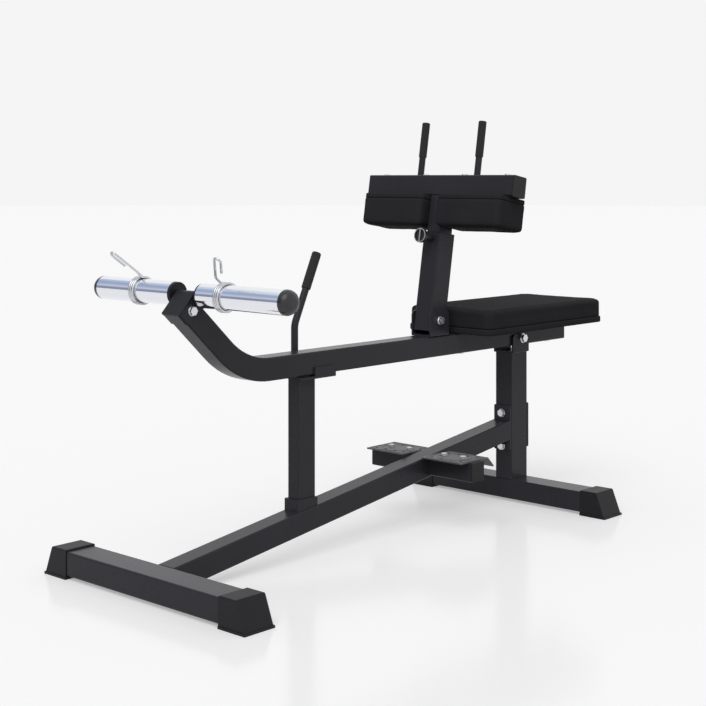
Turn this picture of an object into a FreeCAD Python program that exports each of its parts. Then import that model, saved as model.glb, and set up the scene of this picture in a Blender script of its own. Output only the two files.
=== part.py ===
import FreeCAD, Part
import math
import operator
import os

import Sketcher

# Seated calf raise machine: a see-saw lever on a floor frame, with a seat and a knee unit on it.
# X runs from the weight end to the seat end, Y across, Z up from the floor.
# The sizes below count X from the front of the base, and every sub-part is moved back by half
# the machine's length, so that the origin is under the middle of the machine.

SIZES = {
    # Floor frame
    "base_length": 1260,
    "base_width": 610,
    "base_tube_width": 70,
    "base_tube_height": 50,
    "base_tube_rise": 7,
    "frame_wall": 2,
    "tube_corner": 4,
    "cap_length": 76.7,
    "cap_reach": 72.6,
    "cap_height": 60.9,
    "cap_slope": 25.6,
    "cap_flange": 5,
    "cap_flange_step": 1.4,
    "cap_stop": 33,
    "cap_fit": 0.1,
    "cap_round": 3,
    "upright_height": 321,
    "beam_side": 50,
    "beam_rear_height": 208,
    "joint_plate": 5,
    "joint_plate_low": 131,
    "joint_plate_high": 245,
    "joint_plate_corner": 4,
    "frame_bolt_low": 141,
    "frame_bolt_high": 225,
    # Bolts
    "bolt_radius": 5,
    "bolt_flats": 16,
    "bolt_head": 6.4,
    "bolt_hole": 5.2,
    "washer_radius": 10,
    "washer_thick": 2,
    "nut_height": 8,
    "nut_fit": 0.05,
    "bolt_tail": 3,
    "screw_radius": 4,
    "screw_hole": 4.2,
    "screw_flats": 13,
    "screw_head": 3.6,
    "screw_washer_radius": 8,
    "screw_washer": 1.6,
    # Pivot on the upright
    "pivot_back": 6.35,
    "pivot_rise": 17.5,
    "pivot_radius": 6,
    "pivot_fit": 0.05,
    "pivot_flats": 18,
    "pivot_head": 7.5,
    "pivot_nut": 10,
    "pivot_washer": 12,
    "pivot_sleeve_radius": 9,
    "bracket_length": 68,
    "bracket_gap": 0.6,
    "bracket_plate": 5,
    "bracket_over": 10.5,
    "bracket_round": 11,
    "bracket_bend": 3,
    "sleeve_play": 0.3,
    # Lever
    "lever_side": 50,
    "lever_gap": 14,
    "seat_overhang": 28,
    "lever_end_cap": 5,
    "lever_corner_x": 263.8,
    "lever_bend": 185,
    "nose_angle": 43,
    "nose_length": 217.8,
    "nose_bolt_back": 15.3,
    "nose_cap": 4,
    "plug_depth": 9,
    "plug_fit": 0.1,
    "plug_wall": 3,
    # Weight sleeves
    "yoke_wall": 2.5,
    "yoke_fit": 0.1,
    "yoke_top_length": 38,
    "yoke_low_length": 27,
    "axle_radius": 8,
    "axle_ahead": 5.9,
    "axle_end": 262,
    "axle_weld": 5.5,
    "sleeve_radius": 25,
    "sleeve_wall": 2.5,
    "sleeve_start": 42.5,
    "sleeve_stop": 274.4,
    "sleeve_plug": 6,
    "sleeve_plug_inset": 1.5,
    "sleeve_plug_depth": 12,
    "sleeve_fit": 0.05,
    "dome_height": 21,
    "dome_round": 19,
    # Spring clips
    "clip_wire": 2.5,
    "clip_gap": 0.3,
    "clip_pitch": 5.6,
    "clip_turns": 3,
    "clip_first_angle": 22,
    "clip_last_angle": 91,
    "clip_bend": 8,
    "clip_bend_angle": 40,
    "clip_neck": 12,
    "clip_turn": 10,
    "clip_turn_angle": 10,
    "clip_lean_angle": 33,
    "clip_leg": 57,
    "clip_loop": 7.5,
    "clip_return": 32,
    "near_clip_y": 105,
    "far_clip_y": 154,
    # Catch
    "catch_x": 427.5,
    "catch_length": 53,
    "catch_width": 32,
    "catch_corner": 2.5,
    "catch_pin_rise": 12.2,
    "catch_pin_radius": 4,
    "catch_pin_fit": 0.05,
    "catch_foot_gap": 1.5,
    "catch_relief_angle": 37,
    "catch_toe_angle": 31,
    "catch_rest_gap": 0.3,
    "catch_web": 5,
    "catch_ear": 4,
    "catch_side_gap": 0.5,
    "catch_ear_rise": 22,
    "catch_ear_reach": 2,
    "saddle_plate": 5,
    "saddle_reach": 51,
    "saddle_start": 39,
    "saddle_flange": 4,
    "saddle_gap": 0.6,
    "saddle_high": 25,
    "catch_pad": 2.7,
    "catch_pad_width": 40,
    "catch_pad_inset": 2,
    "rod_radius": 8,
    "rod_x": 470,
    "rod_start": 390,
    "rod_corner": 502,
    "rod_bend": 45,
    "rod_lean_angle": 24.5,
    "rod_length": 168,
    "grip_radius": 10.5,
    "grip_length": 86,
    "grip_top": 3,
    "grip_round": 4,
    "grip_fit": 0.05,
    # Foot plates
    "foot_plate_ahead": 67.5,
    "foot_plate_length": 104,
    "foot_plate_height": 167,
    "foot_plate_thick": 3,
    "foot_plate_start": 28,
    "foot_plate_width": 118,
    "foot_flange": 32,
    "foot_flange_angle": 45,
    "foot_plate_corner": 4,
    "tread_hole": 4,
    "foot_bar_inset": 31.5,
    "foot_bar_side": 45,
    "foot_bar_past": 9,
    "foot_bolt_inner": 54,
    "foot_bolt_outer": 111,
    "foot_bolt_length": 9,
    # Knee bracket and outer post
    "hinge_ahead": 334.5,
    "hinge_rise": 37,
    "knee_lean_angle": 9.6,
    "knee_bracket_length": 70,
    "knee_bracket_gap": 0.5,
    "knee_bracket_plate": 4,
    "knee_bracket_over": 23,
    "knee_bracket_round": 12,
    "knee_foot_gap": 0.4,
    "post_length": 60,
    "post_width": 50,
    "post_top": 207,
    "bushing_lip": 3,
    "bushing_depth": 40,
    "bushing_fit": 0.1,
    "slide_play": 0.3,
    "inner_length": 50,
    "inner_width": 40,
    "inner_start": 35,
    "height_step": 20,
    "height_hole_count": 7,
    # Pull pin
    "pin_height": 195,
    "pin_radius": 5,
    "pin_fit": 0.05,
    "pin_hole": 5.5,
    "pin_tip": 19,
    "pin_tip_chamfer": 1.5,
    "collar_radius": 6.6,
    "collar_start": 34,
    "collar_length": 4,
    "stem_radius": 4,
    "barrel_radius": 11,
    "barrel_bore": 7,
    "barrel_shoulder": 56,
    "barrel_end": 62,
    "barrel_round": 1.5,
    "knob_start": 64.5,
    "knob_thick": 9,
    "knob_radius": 17.5,
    "knob_rim": 2.6,
    "knob_recess": 3.5,
    "knob_bar": 4,
    "knob_round": 1,
    "stem_in_knob": 4,
    "spring_radius": 5.5,
    "spring_wire": 0.6,
    "spring_turns": 5,
    "spring_seat_gap": 0.05,
    # Knee crossbeam, pads and handles
    "cross_side": 50,
    "cross_low": 299,
    "cross_half": 221,
    "cross_cap": 3,
    "pad_start": 21,
    "pad_length": 191,
    "pad_half": 50,
    "pad_low": 221.5,
    "board_thick": 12,
    "board_inset": 1.5,
    "pad_corner": 10,
    "pad_bolt_inner": 60,
    "pad_bolt_outer": 188,
    "pad_bolt_stop": 2,
    "handle_out": 88,
    "handle_u": 11,
    "handle_rise": 134,
    "knee_grip_length": 87,
    "knee_grip_radius": 9.7,
    "knee_grip_top": 3,
    "knee_grip_round": 3,
    # Seat
    "seat_gap": 27.5,
    "seat_length": 492,
    "seat_width": 261.2,
    "seat_board": 15,
    "seat_cushion": 46,
    "seat_corner": 10,
    "seat_cushion_inset": 2,
    "cushion_seam": 1,
    "cushion_round": 8,
    "cushion_crown": 2,
    "cushion_crown_inset": 30,
    "seat_bolt_inset": 54,
    "seat_bolt_back": 71,
    "seat_bolt_stop": 3,
}

# Corners of a hexagon, as shares of its width across flats
HEXAGON_SHARES = [(0.57735, 0), (0.288675, 0.5), (-0.288675, 0.5),
                  (-0.57735, 0), (-0.288675, -0.5), (0.288675, -0.5)]
# The middle of a foot plate's two rows of tread holes, and of its columns
TREAD_ROW_SHARES = [0.2, 0.8]
TREAD_COLUMN_SHARES = [0.14, 0.38, 0.62, 0.86]

QUARTER_TURN = 90
HALF_TURN = 180
FULL_TURN = 360

V = FreeCAD.Vector
doc = FreeCAD.newDocument("seated_calf_raise_machine")
parts = []


class Size:
    """A number of the sheet, or a formula of such numbers, with the text that binds it."""

    def __init__(self, number, text):
        self.number = number
        self.text = text

    def join(self, other, sign, work, swap=False):
        if not isinstance(other, Size):
            other = Size(other, repr(other))
        first, second = (other, self) if swap else (self, other)
        return Size(work(first.number, second.number), f"({first.text} {sign} {second.text})")

    def __add__(self, other):
        return self.join(other, "+", operator.add)

    def __radd__(self, other):
        return self.join(other, "+", operator.add, swap=True)

    def __sub__(self, other):
        return self.join(other, "-", operator.sub)

    def __rsub__(self, other):
        return self.join(other, "-", operator.sub, swap=True)

    def __mul__(self, other):
        return self.join(other, "*", operator.mul)

    def __rmul__(self, other):
        return self.join(other, "*", operator.mul, swap=True)

    def __truediv__(self, other):
        return self.join(other, "/", operator.truediv)

    def __neg__(self):
        return self.join(-1, "*", operator.mul)


def cos_of(angle):
    return Size(math.cos(math.radians(angle.number)), f"cos({angle.text})")


def sin_of(angle):
    return Size(math.sin(math.radians(angle.number)), f"sin({angle.text})")


def tan_of(angle):
    return Size(math.tan(math.radians(angle.number)), f"tan({angle.text})")


def root_of(size):
    return Size(math.sqrt(size.number), f"sqrt({size.text})")


class Sheet:
    """The spreadsheet of driving sizes, read as sheet.alias."""

    def __init__(self, sizes):
        cells = doc.addObject("Spreadsheet::Sheet", "Sizes")
        for row, (alias, number) in enumerate(sizes.items(), 1):
            cells.set(f"A{row}", alias.replace("_", " "))
            cells.set(f"B{row}", str(number))
            cells.setAlias(f"B{row}", alias)
        doc.recompute()
        for alias in sizes:
            setattr(self, alias, Size(float(getattr(cells, alias)), f"Sizes.{alias}"))


s = Sheet(SIZES)

# Places worked out from the sizes
base_top = s.base_tube_rise + s.base_tube_height
front_tube_x = s.cap_length / 2
rear_tube_x = s.base_length - front_tube_x
pivot_x = rear_tube_x + s.pivot_back
hinge_x = pivot_x - s.hinge_ahead
seat_front = hinge_x + s.knee_bracket_length / 2 + s.seat_gap
seat_rear = seat_front + s.seat_length
lever_rear = seat_rear - s.seat_overhang
middle = seat_rear / 2
foot_plate_front = hinge_x - s.foot_plate_ahead
foot_bar_front = foot_plate_front + s.foot_bar_inset
beam_front = front_tube_x + s.base_tube_width / 2
beam_rear = rear_tube_x - s.base_tube_width / 2 - s.joint_plate
beam_slope = (s.beam_rear_height - base_top) / (beam_rear - beam_front)
beam_depth = s.beam_side * root_of(1 + beam_slope * beam_slope)
upright_top = base_top + s.upright_height
lever_low = upright_top + s.bracket_plate + s.lever_gap
lever_top = lever_low + s.lever_side
lever_middle = lever_low + s.lever_side / 2
pivot_z = lever_low + s.pivot_rise
hinge_z = lever_top + s.hinge_rise
nose_x = s.lever_corner_x - s.nose_length * cos_of(s.nose_angle)
nose_z = lever_middle + s.nose_length * sin_of(s.nose_angle)
nose_bolt_x = nose_x + s.nose_bolt_back * cos_of(s.nose_angle)
nose_bolt_z = nose_z - s.nose_bolt_back * sin_of(s.nose_angle)
yoke_half = s.lever_side / 2 + s.yoke_fit + s.yoke_wall
axle_off = yoke_half + s.axle_radius
axle_x = nose_bolt_x + axle_off * sin_of(s.nose_angle) - s.axle_ahead * cos_of(s.nose_angle)
axle_z = nose_bolt_z + axle_off * cos_of(s.nose_angle) + s.axle_ahead * sin_of(s.nose_angle)
catch_middle = s.catch_x + s.catch_length / 2
catch_pin_z = base_top + (catch_middle - beam_front) * beam_slope + s.catch_pin_rise
saddle_low = lever_low - s.catch_rest_gap - s.catch_pad - s.saddle_plate
saddle_half = s.lever_side / 2 + s.saddle_gap + s.saddle_flange
rod_y = saddle_half + s.rod_radius
foot_bar_end = s.foot_plate_start + s.foot_plate_width + s.foot_bar_past
knee_floor = lever_top + s.knee_bracket_plate
post_low = (knee_floor + s.knee_foot_gap - hinge_z
            + s.post_length / 2 * sin_of(s.knee_lean_angle)) / cos_of(s.knee_lean_angle)
cross_high = s.cross_low + s.cross_side
board_low = s.cross_low - s.board_thick


def beam_top_at(x):
    return base_top + (x - beam_front) * beam_slope


def bind(thing, path, size):
    if isinstance(size, Size):
        thing.setExpression(path, size.text)


def new_body(name, x=0, y=0, z=0, turn=None, angle=0):
    """A sub-part placed in the machine, turned by a number or a size about one axis."""
    body = doc.addObject("PartDesign::Body", name)
    body.Label = name
    body.AllowCompound = True
    if turn is not None:
        body.Placement.Rotation = FreeCAD.Rotation(turn, angle.number if isinstance(angle, Size) else angle)
        bind(body, "Placement.Rotation.Angle", angle)
    bind(body, "Placement.Base.x", x - middle)
    bind(body, "Placement.Base.y", y)
    bind(body, "Placement.Base.z", z)
    parts.append(body)
    return body


def knee_body(name, rise=0, u=0):
    """A sub-part in the leaning frame of the knee post, with its origin at the hinge."""
    x = hinge_x + rise * sin_of(s.knee_lean_angle) + u * cos_of(s.knee_lean_angle)
    z = hinge_z + rise * cos_of(s.knee_lean_angle) - u * sin_of(s.knee_lean_angle)
    return new_body(name, x, 0, z, V(0, 1, 0), s.knee_lean_angle)


def nose_body(name):
    """A sub-part in the frame of the lever's raised nose: Z out along it, origin at its bolt."""
    return new_body(name, nose_bolt_x, 0, nose_bolt_z, V(0, 1, 0), s.nose_angle - QUARTER_TURN)


def sketch_on(body, role, lift=0):
    """A sketch on one of the body's own origin planes, lifted along its normal."""
    sketch = body.newObject("Sketcher::SketchObject", f"{body.Name}_sketch")
    support = [plane for plane in body.Origin.OriginFeatures if plane.Role == role][0]
    sketch.AttachmentSupport = [(support, "")]
    sketch.MapMode = "FlatFace"
    bind(sketch, "AttachmentOffset.Base.z", lift)
    return sketch


def number_of(size):
    return size.number if isinstance(size, Size) else float(size)


def pin_point(sketch, index, end, point):
    """Fix one end of a line, or a circle's centre, at a place given in sizes."""
    for kind, axis, size in (("DistanceX", -2, point[0]), ("DistanceY", -1, point[1])):
        if isinstance(size, Size):
            place = sketch.addConstraint(Sketcher.Constraint(kind, -1, 1, index, end, size.number))
            sketch.setExpression(f"Constraints[{place}]", size.text)
        else:
            sketch.addConstraint(Sketcher.Constraint("PointOnObject", index, end, axis))


def radius_of(sketch, index, size):
    place = sketch.addConstraint(Sketcher.Constraint("Radius", index, size.number))
    sketch.setExpression(f"Constraints[{place}]", size.text)


def draw_line(sketch, start, stop):
    ends = [V(number_of(point[0]), number_of(point[1]), 0) for point in (start, stop)]
    return sketch.addGeometry(Part.LineSegment(ends[0], ends[1]))


def draw_polygon(sketch, points):
    """A closed outline of straight lines through points given in sizes."""
    lines = [draw_line(sketch, point, after) for point, after in zip(points, points[1:] + points[:1])]
    for line, after, point in zip(lines, lines[1:] + lines[:1], points):
        sketch.addConstraint(Sketcher.Constraint("Coincident", line, 2, after, 1))
        pin_point(sketch, line, 1, point)


def draw_box(sketch, low, high):
    draw_polygon(sketch, [low, (high[0], low[1]), high, (low[0], high[1])])


def draw_circle(sketch, centre, radius):
    middle_point = V(number_of(centre[0]), number_of(centre[1]), 0)
    circle = sketch.addGeometry(Part.Circle(middle_point, V(0, 0, 1), radius.number))
    pin_point(sketch, circle, 3, centre)
    radius_of(sketch, circle, radius)


def draw_hexagon(sketch, centre, flats):
    draw_polygon(sketch, [(centre[0] + flats * across, centre[1] + flats * up)
                          for across, up in HEXAGON_SHARES])


def draw_rounded(sketch, low, high, radius):
    """A rectangle with rounded corners: four pinned lines and the arcs between them."""
    left, bottom = low
    right, top = high
    corners = [((left + radius, bottom), (right - radius, bottom), (right - radius, bottom + radius)),
               ((right, bottom + radius), (right, top - radius), (right - radius, top - radius)),
               ((right - radius, top), (left + radius, top), (left + radius, top - radius)),
               ((left, top - radius), (left, bottom + radius), (left + radius, bottom + radius))]
    lines = []
    for start, stop, _ in corners:
        line = draw_line(sketch, start, stop)
        pin_point(sketch, line, 1, start)
        pin_point(sketch, line, 2, stop)
        lines.append(line)
    for place, (_, _, centre) in enumerate(corners):
        circle = Part.Circle(V(centre[0].number, centre[1].number, 0), V(0, 0, 1), radius.number)
        start = math.radians(QUARTER_TURN) * (place - 1)
        arc = sketch.addGeometry(Part.ArcOfCircle(circle, start, start + math.radians(QUARTER_TURN)))
        sketch.addConstraint(Sketcher.Constraint("Coincident", lines[place], 2, arc, 1))
        following = lines[(place + 1) % len(lines)]
        sketch.addConstraint(Sketcher.Constraint("Coincident", following, 1, arc, 2))
        radius_of(sketch, arc, radius)


def add_feature(body, kind, sketch):
    feature = body.newObject(f"PartDesign::{kind}", f"{body.Name}_{kind.lower()}")
    feature.Profile = sketch
    return feature


def pad(body, sketch, length, both=False, back=False):
    feature = add_feature(body, "Pad", sketch)
    feature.SideType = "Symmetric" if both else "One side"
    feature.Reversed = back
    bind(feature, "Length", length)
    return feature


def pocket(body, sketch, length=None, both=True, back=False):
    """A cut of a stated depth, or right through where no depth is given."""
    feature = add_feature(body, "Pocket", sketch)
    feature.Type = "Length" if length is not None else "ThroughAll"
    feature.SideType = "Symmetric" if both else "One side"
    feature.Reversed = back
    if length is not None:
        bind(feature, "Length", length)
    return feature


def turn(body, points, role="XZ_Plane", axis="V_Axis"):
    """A turned piece: an outline spun about one axis of its sketch."""
    sketch = sketch_on(body, role)
    draw_polygon(sketch, points)
    feature = add_feature(body, "Revolution", sketch)
    feature.ReferenceAxis = (sketch, [axis])
    feature.Angle = FULL_TURN
    return feature


def soften(body, kind, size, wanted):
    """A fillet or chamfer on the edges of the tip that the test picks out."""
    doc.recompute()
    base = body.Tip
    names = [f"Edge{place}" for place, edge in enumerate(base.Shape.Edges, 1) if wanted(edge)]
    if not names:
        raise RuntimeError(f"{body.Label}: no edge to soften")
    feature = body.newObject(f"PartDesign::{kind}", f"{body.Name}_{kind.lower()}")
    feature.Base = (base, names)
    bind(feature, "Radius" if kind == "Fillet" else "Size", size)
    return feature


def span(edge):
    box = edge.BoundBox
    return (box.XLength, box.YLength, box.ZLength)


def runs_along(axis, size):
    """A test for straight edges of a given length along one of the body's axes."""
    def wanted(edge):
        spans = span(edge)
        others = sum(spans) - spans[axis]
        return abs(spans[axis] - size.number) < 1e-3 and others < 1e-3
    return wanted


def on_plane(axis, place):
    """A test for edges that lie wholly on a plane square to one of the body's axes."""
    def wanted(edge):
        box = edge.BoundBox
        low = (box.XMin, box.YMin, box.ZMin)[axis]
        high = (box.XMax, box.YMax, box.ZMax)[axis]
        return abs(low - place.number) < 1e-3 and abs(high - place.number) < 1e-3
    return wanted


def box_tube(body, role, half_across, half_up, wall, length, lift=0, centre=(0, 0), both=False):
    """A rectangular steel tube with rounded outer corners, drawn on an origin plane."""
    sketch = sketch_on(body, role, lift)
    across, up = centre
    draw_rounded(sketch, (across - half_across, up - half_up), (across + half_across, up + half_up),
                 s.tube_corner)
    draw_box(sketch, (across - half_across + wall, up - half_up + wall),
             (across + half_across - wall, up + half_up - wall))
    return pad(body, sketch, length, both)


def drill(body, role, spots, radius, length=None, both=True, back=False, lift=0):
    sketch = sketch_on(body, role, lift)
    for spot in spots:
        draw_circle(sketch, spot, radius)
    return pocket(body, sketch, length, both, back)


def add_bolts(body, spots, radius, length, flats, head, washer_radius, washer, seat=0):
    """Hexagon bolts with washers, seated square to the body's Z with their shanks below."""
    shanks = sketch_on(body, "XY_Plane", seat)
    for spot in spots:
        draw_circle(shanks, spot, radius)
    pad(body, shanks, length, back=True)
    washers = sketch_on(body, "XY_Plane", seat)
    for spot in spots:
        draw_circle(washers, spot, washer_radius)
    pad(body, washers, washer)
    heads = sketch_on(body, "XY_Plane", washer + seat)
    for spot in spots:
        draw_hexagon(heads, spot, flats)
    pad(body, heads, head)


def add_nuts(body, spots, radius, flats, height, washer_radius, washer, seat=0):
    """Hexagon nuts with washers, seated square to the body's Z."""
    washers = sketch_on(body, "XY_Plane", seat)
    for spot in spots:
        draw_circle(washers, spot, washer_radius)
        draw_circle(washers, spot, radius + s.nut_fit)
    pad(body, washers, washer)
    nuts = sketch_on(body, "XY_Plane", washer + seat)
    for spot in spots:
        draw_hexagon(nuts, spot, flats)
        draw_circle(nuts, spot, radius + s.nut_fit)
    pad(body, nuts, height)


# Floor frame

def base_tube(name, x):
    body = new_body(name, x, 0, s.base_tube_rise + s.base_tube_height / 2)
    box_tube(body, "XZ_Plane", s.base_tube_width / 2, s.base_tube_height / 2, s.frame_wall,
             s.base_width - 2 * s.cap_stop, both=True)


def foot_cap(name, x, side):
    """A moulded boot over a base tube's end, with a sole flange and a sloping end face."""
    body = new_body(name, x, side * s.base_width / 2, 0, V(0, 0, 1), 0 if side < 0 else HALF_TURN)
    flange = sketch_on(body, "XY_Plane")
    draw_box(flange, (-s.cap_length / 2, 0), (s.cap_length / 2, s.cap_reach))
    pad(body, flange, s.cap_flange)
    loft = body.newObject("PartDesign::AdditiveLoft", f"{body.Name}_loft")
    low = sketch_on(body, "XY_Plane", s.cap_flange)
    half = s.cap_length / 2 - s.cap_flange_step
    start = s.cap_slope * s.cap_flange / s.cap_height + s.cap_flange_step
    draw_box(low, (-half, start), (half, s.cap_reach))
    high = sketch_on(body, "XY_Plane", s.cap_height)
    draw_box(high, (-half, s.cap_slope), (half, s.cap_reach))
    loft.Profile = low
    loft.Sections = [high]
    loft.Ruled = True
    soften(body, "Fillet", s.cap_round, on_plane(2, s.cap_height))
    socket = sketch_on(body, "XZ_Plane", -s.cap_stop)
    reach = s.base_tube_width / 2 + s.cap_fit
    draw_box(socket, (-reach, s.base_tube_rise - s.cap_fit), (reach, base_top + s.cap_fit))
    pocket(body, socket, s.cap_reach, both=False)


def diagonal_beam():
    """The sloping tube from the front base tube's top edge to the plate on the upright."""
    body = new_body("diagonal_beam")
    outline = sketch_on(body, "XZ_Plane")
    draw_polygon(outline, [(beam_front, base_top - beam_depth), (beam_rear, s.beam_rear_height - beam_depth),
                           (beam_rear, s.beam_rear_height), (beam_front, base_top)])
    pad(body, outline, s.beam_side, both=True)
    soften(body, "Fillet", s.tube_corner, lambda edge: span(edge)[0] > s.beam_side.number)
    hollow = sketch_on(body, "XZ_Plane")
    wall = s.frame_wall * beam_depth / s.beam_side
    draw_polygon(hollow, [(beam_front, base_top - beam_depth + wall),
                          (beam_rear, s.beam_rear_height - beam_depth + wall),
                          (beam_rear, s.beam_rear_height - wall), (beam_front, base_top - wall)])
    pocket(body, hollow, s.beam_side - 2 * s.frame_wall)


def joint_plate(name, x):
    """One of the two plates that clamp the upright between them with the frame bolts."""
    body = new_body(name, x, 0, 0)
    sketch = sketch_on(body, "YZ_Plane")
    half = s.beam_side / 2
    draw_rounded(sketch, (-half, s.joint_plate_low), (half, s.joint_plate_high), s.joint_plate_corner)
    pad(body, sketch, s.joint_plate)
    drill(body, "YZ_Plane", [(0, s.frame_bolt_low), (0, s.frame_bolt_high)], s.bolt_hole)


def rear_upright():
    body = new_body("rear_upright", rear_tube_x, 0, base_top)
    box_tube(body, "XY_Plane", s.base_tube_width / 2, s.base_tube_height / 2, s.frame_wall, s.upright_height)
    spots = [(0, s.frame_bolt_low - base_top), (0, s.frame_bolt_high - base_top)]
    drill(body, "YZ_Plane", spots, s.bolt_hole)


def frame_bolts():
    """Two long bolts through plate, upright and plate, with their nuts at the rear."""
    grip = s.base_tube_width + 2 * s.joint_plate
    spots = [(s.frame_bolt_low, 0), (s.frame_bolt_high, 0)]
    bolts = new_body("frame_bolts", beam_rear, 0, 0, V(0, 1, 0), -QUARTER_TURN)
    length = grip + s.washer_thick + s.nut_height + s.bolt_tail
    add_bolts(bolts, spots, s.bolt_radius, length, s.bolt_flats, s.bolt_head, s.washer_radius, s.washer_thick)
    nuts = new_body("frame_nuts", beam_rear + grip, 0, 0, V(0, 1, 0), QUARTER_TURN)
    spots = [(-s.frame_bolt_low, 0), (-s.frame_bolt_high, 0)]
    add_nuts(nuts, spots, s.bolt_radius, s.bolt_flats, s.nut_height, s.washer_radius, s.washer_thick)


def u_bracket(name, x, z, length, half, plate, high, hinge, hole, rounding):
    """A folded bracket with a floor and two rounded ears, open to the front and rear."""
    body = new_body(name, x, 0, z)
    outline = sketch_on(body, "YZ_Plane")
    outer = half + plate
    rise = high - z
    draw_polygon(outline, [(-outer, 0), (outer, 0), (outer, rise), (half, rise), (half, plate),
                           (-half, plate), (-half, rise), (-outer, rise)])
    pad(body, outline, length, both=True)

    def ear_corner(edge):
        return runs_along(1, plate)(edge) and edge.BoundBox.ZMin > plate.number + 1e-3

    soften(body, "Fillet", rounding, ear_corner)
    soften(body, "Fillet", s.bracket_bend,
           lambda edge: runs_along(0, length)(edge) and edge.BoundBox.ZMax < 1e-3)
    drill(body, "XZ_Plane", [(hinge[0] - x, hinge[1] - z)], hole)


def pivot_parts():
    half = s.lever_side / 2 + s.bracket_gap
    u_bracket("pivot_bracket", rear_tube_x, upright_top, s.bracket_length, half, s.bracket_plate,
              pivot_z + s.bracket_over, (pivot_x, pivot_z), s.pivot_radius + s.pivot_fit, s.bracket_round)
    outer = half + s.bracket_plate
    bolt = new_body("pivot_bolt", pivot_x, -outer, pivot_z, V(1, 0, 0), QUARTER_TURN)
    length = 2 * outer + s.washer_thick + s.pivot_nut + s.bolt_tail
    add_bolts(bolt, [(0, 0)], s.pivot_radius, length, s.pivot_flats, s.pivot_head,
              s.pivot_washer, s.washer_thick)
    nut = new_body("pivot_nut", pivot_x, outer, pivot_z, V(1, 0, 0), -QUARTER_TURN)
    add_nuts(nut, [(0, 0)], s.pivot_radius, s.pivot_flats, s.pivot_nut, s.pivot_washer, s.washer_thick)
    sleeve = new_body("pivot_sleeve", pivot_x, 0, pivot_z)
    rings = sketch_on(sleeve, "XZ_Plane")
    draw_circle(rings, (0, 0), s.pivot_sleeve_radius)
    draw_circle(rings, (0, 0), s.pivot_radius + s.pivot_fit)
    pad(sleeve, rings, s.lever_side + 2 * s.bracket_gap - 2 * s.sleeve_play, both=True)


# Foot plates

def foot_rest(side, word):
    """A short cross tube on the beam's side, with a folded tread plate on top of it."""
    bar = new_body(f"{word}_foot_bar", foot_bar_front + s.foot_bar_side / 2, 0,
                   s.foot_plate_height - s.foot_plate_thick - s.foot_bar_side / 2)
    half = s.foot_bar_side / 2
    length = foot_bar_end - s.plug_wall - s.beam_side / 2
    near = s.beam_side / 2 if side < 0 else -s.beam_side / 2 - length
    box_tube(bar, "XZ_Plane", half, half, s.frame_wall, length, near)
    bolt_spots = [(0, side * s.foot_bolt_inner), (0, side * s.foot_bolt_outer)]
    drill(bar, "XY_Plane", bolt_spots, s.screw_radius + s.nut_fit, half + s.plug_wall, both=False, back=True)
    plate = new_body(f"{word}_foot_plate", foot_plate_front, 0, s.foot_plate_height)
    outline = sketch_on(plate, "XZ_Plane",
                        s.foot_plate_start if side < 0 else -s.foot_plate_start - s.foot_plate_width)
    length = s.foot_plate_length
    thick = s.foot_plate_thick
    down = s.foot_flange_angle
    tip = (length + s.foot_flange * cos_of(down), -s.foot_flange * sin_of(down))
    under = (tip[0] - thick * sin_of(down), tip[1] - thick * cos_of(down))
    draw_polygon(outline, [(0, -thick), (length - thick * tan_of(down / 2), -thick), under, tip,
                           (length, 0), (0, 0)])
    pad(plate, outline, s.foot_plate_width)

    def front_corner(edge):
        return runs_along(2, thick)(edge) and edge.BoundBox.XMax < 1e-3

    soften(plate, "Fillet", s.foot_plate_corner, front_corner)
    bolt_x = foot_bar_front + half - foot_plate_front
    holes = [(bolt_x, side * s.foot_bolt_inner), (bolt_x, side * s.foot_bolt_outer)]
    drill(plate, "XY_Plane", holes, s.screw_hole)
    tread = [(length * row, side * (s.foot_plate_start + s.foot_plate_width * column))
             for row in TREAD_ROW_SHARES for column in TREAD_COLUMN_SHARES]
    drill(plate, "XY_Plane", tread, s.tread_hole)


def foot_rest_small_parts():
    half = s.foot_bar_side / 2
    z = s.foot_plate_height - s.foot_plate_thick - half
    caps = new_body("foot_bar_caps", foot_bar_front + half, 0, z)
    inner = half - s.frame_wall - s.plug_fit
    for side in (-1, 1):
        flange = sketch_on(caps, "XZ_Plane", -side * foot_bar_end)
        draw_rounded(flange, (-half, -half), (half, half), s.tube_corner)
        pad(caps, flange, s.plug_wall, back=side < 0)
        plug = sketch_on(caps, "XZ_Plane", -side * (foot_bar_end - s.plug_wall))
        draw_box(plug, (-inner, -inner), (inner, inner))
        pad(caps, plug, s.plug_depth, back=side < 0)
    bolts = new_body("foot_plate_bolts", foot_bar_front + half, 0, s.foot_plate_height)
    spots = [(0, side * out) for side in (-1, 1) for out in (s.foot_bolt_inner, s.foot_bolt_outer)]
    add_bolts(bolts, spots, s.screw_radius, s.foot_bolt_length, s.screw_flats, s.screw_head,
              s.screw_washer_radius, s.screw_washer)


# Lever

def draw_runs(sketch, runs, bends, closed=True):
    """Lines pinned at both ends, joined end to end directly or by arcs of a stated radius."""
    lines = []
    for start, stop in runs:
        line = draw_line(sketch, start, stop)
        pin_point(sketch, line, 1, start)
        pin_point(sketch, line, 2, stop)
        lines.append(line)
    for place, radius in enumerate(bends):
        following = (place + 1) % len(runs)
        if following == 0 and not closed:
            continue
        if radius is None:
            continue
        draw_arc_between(sketch, lines[place], lines[following], radius)


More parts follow.
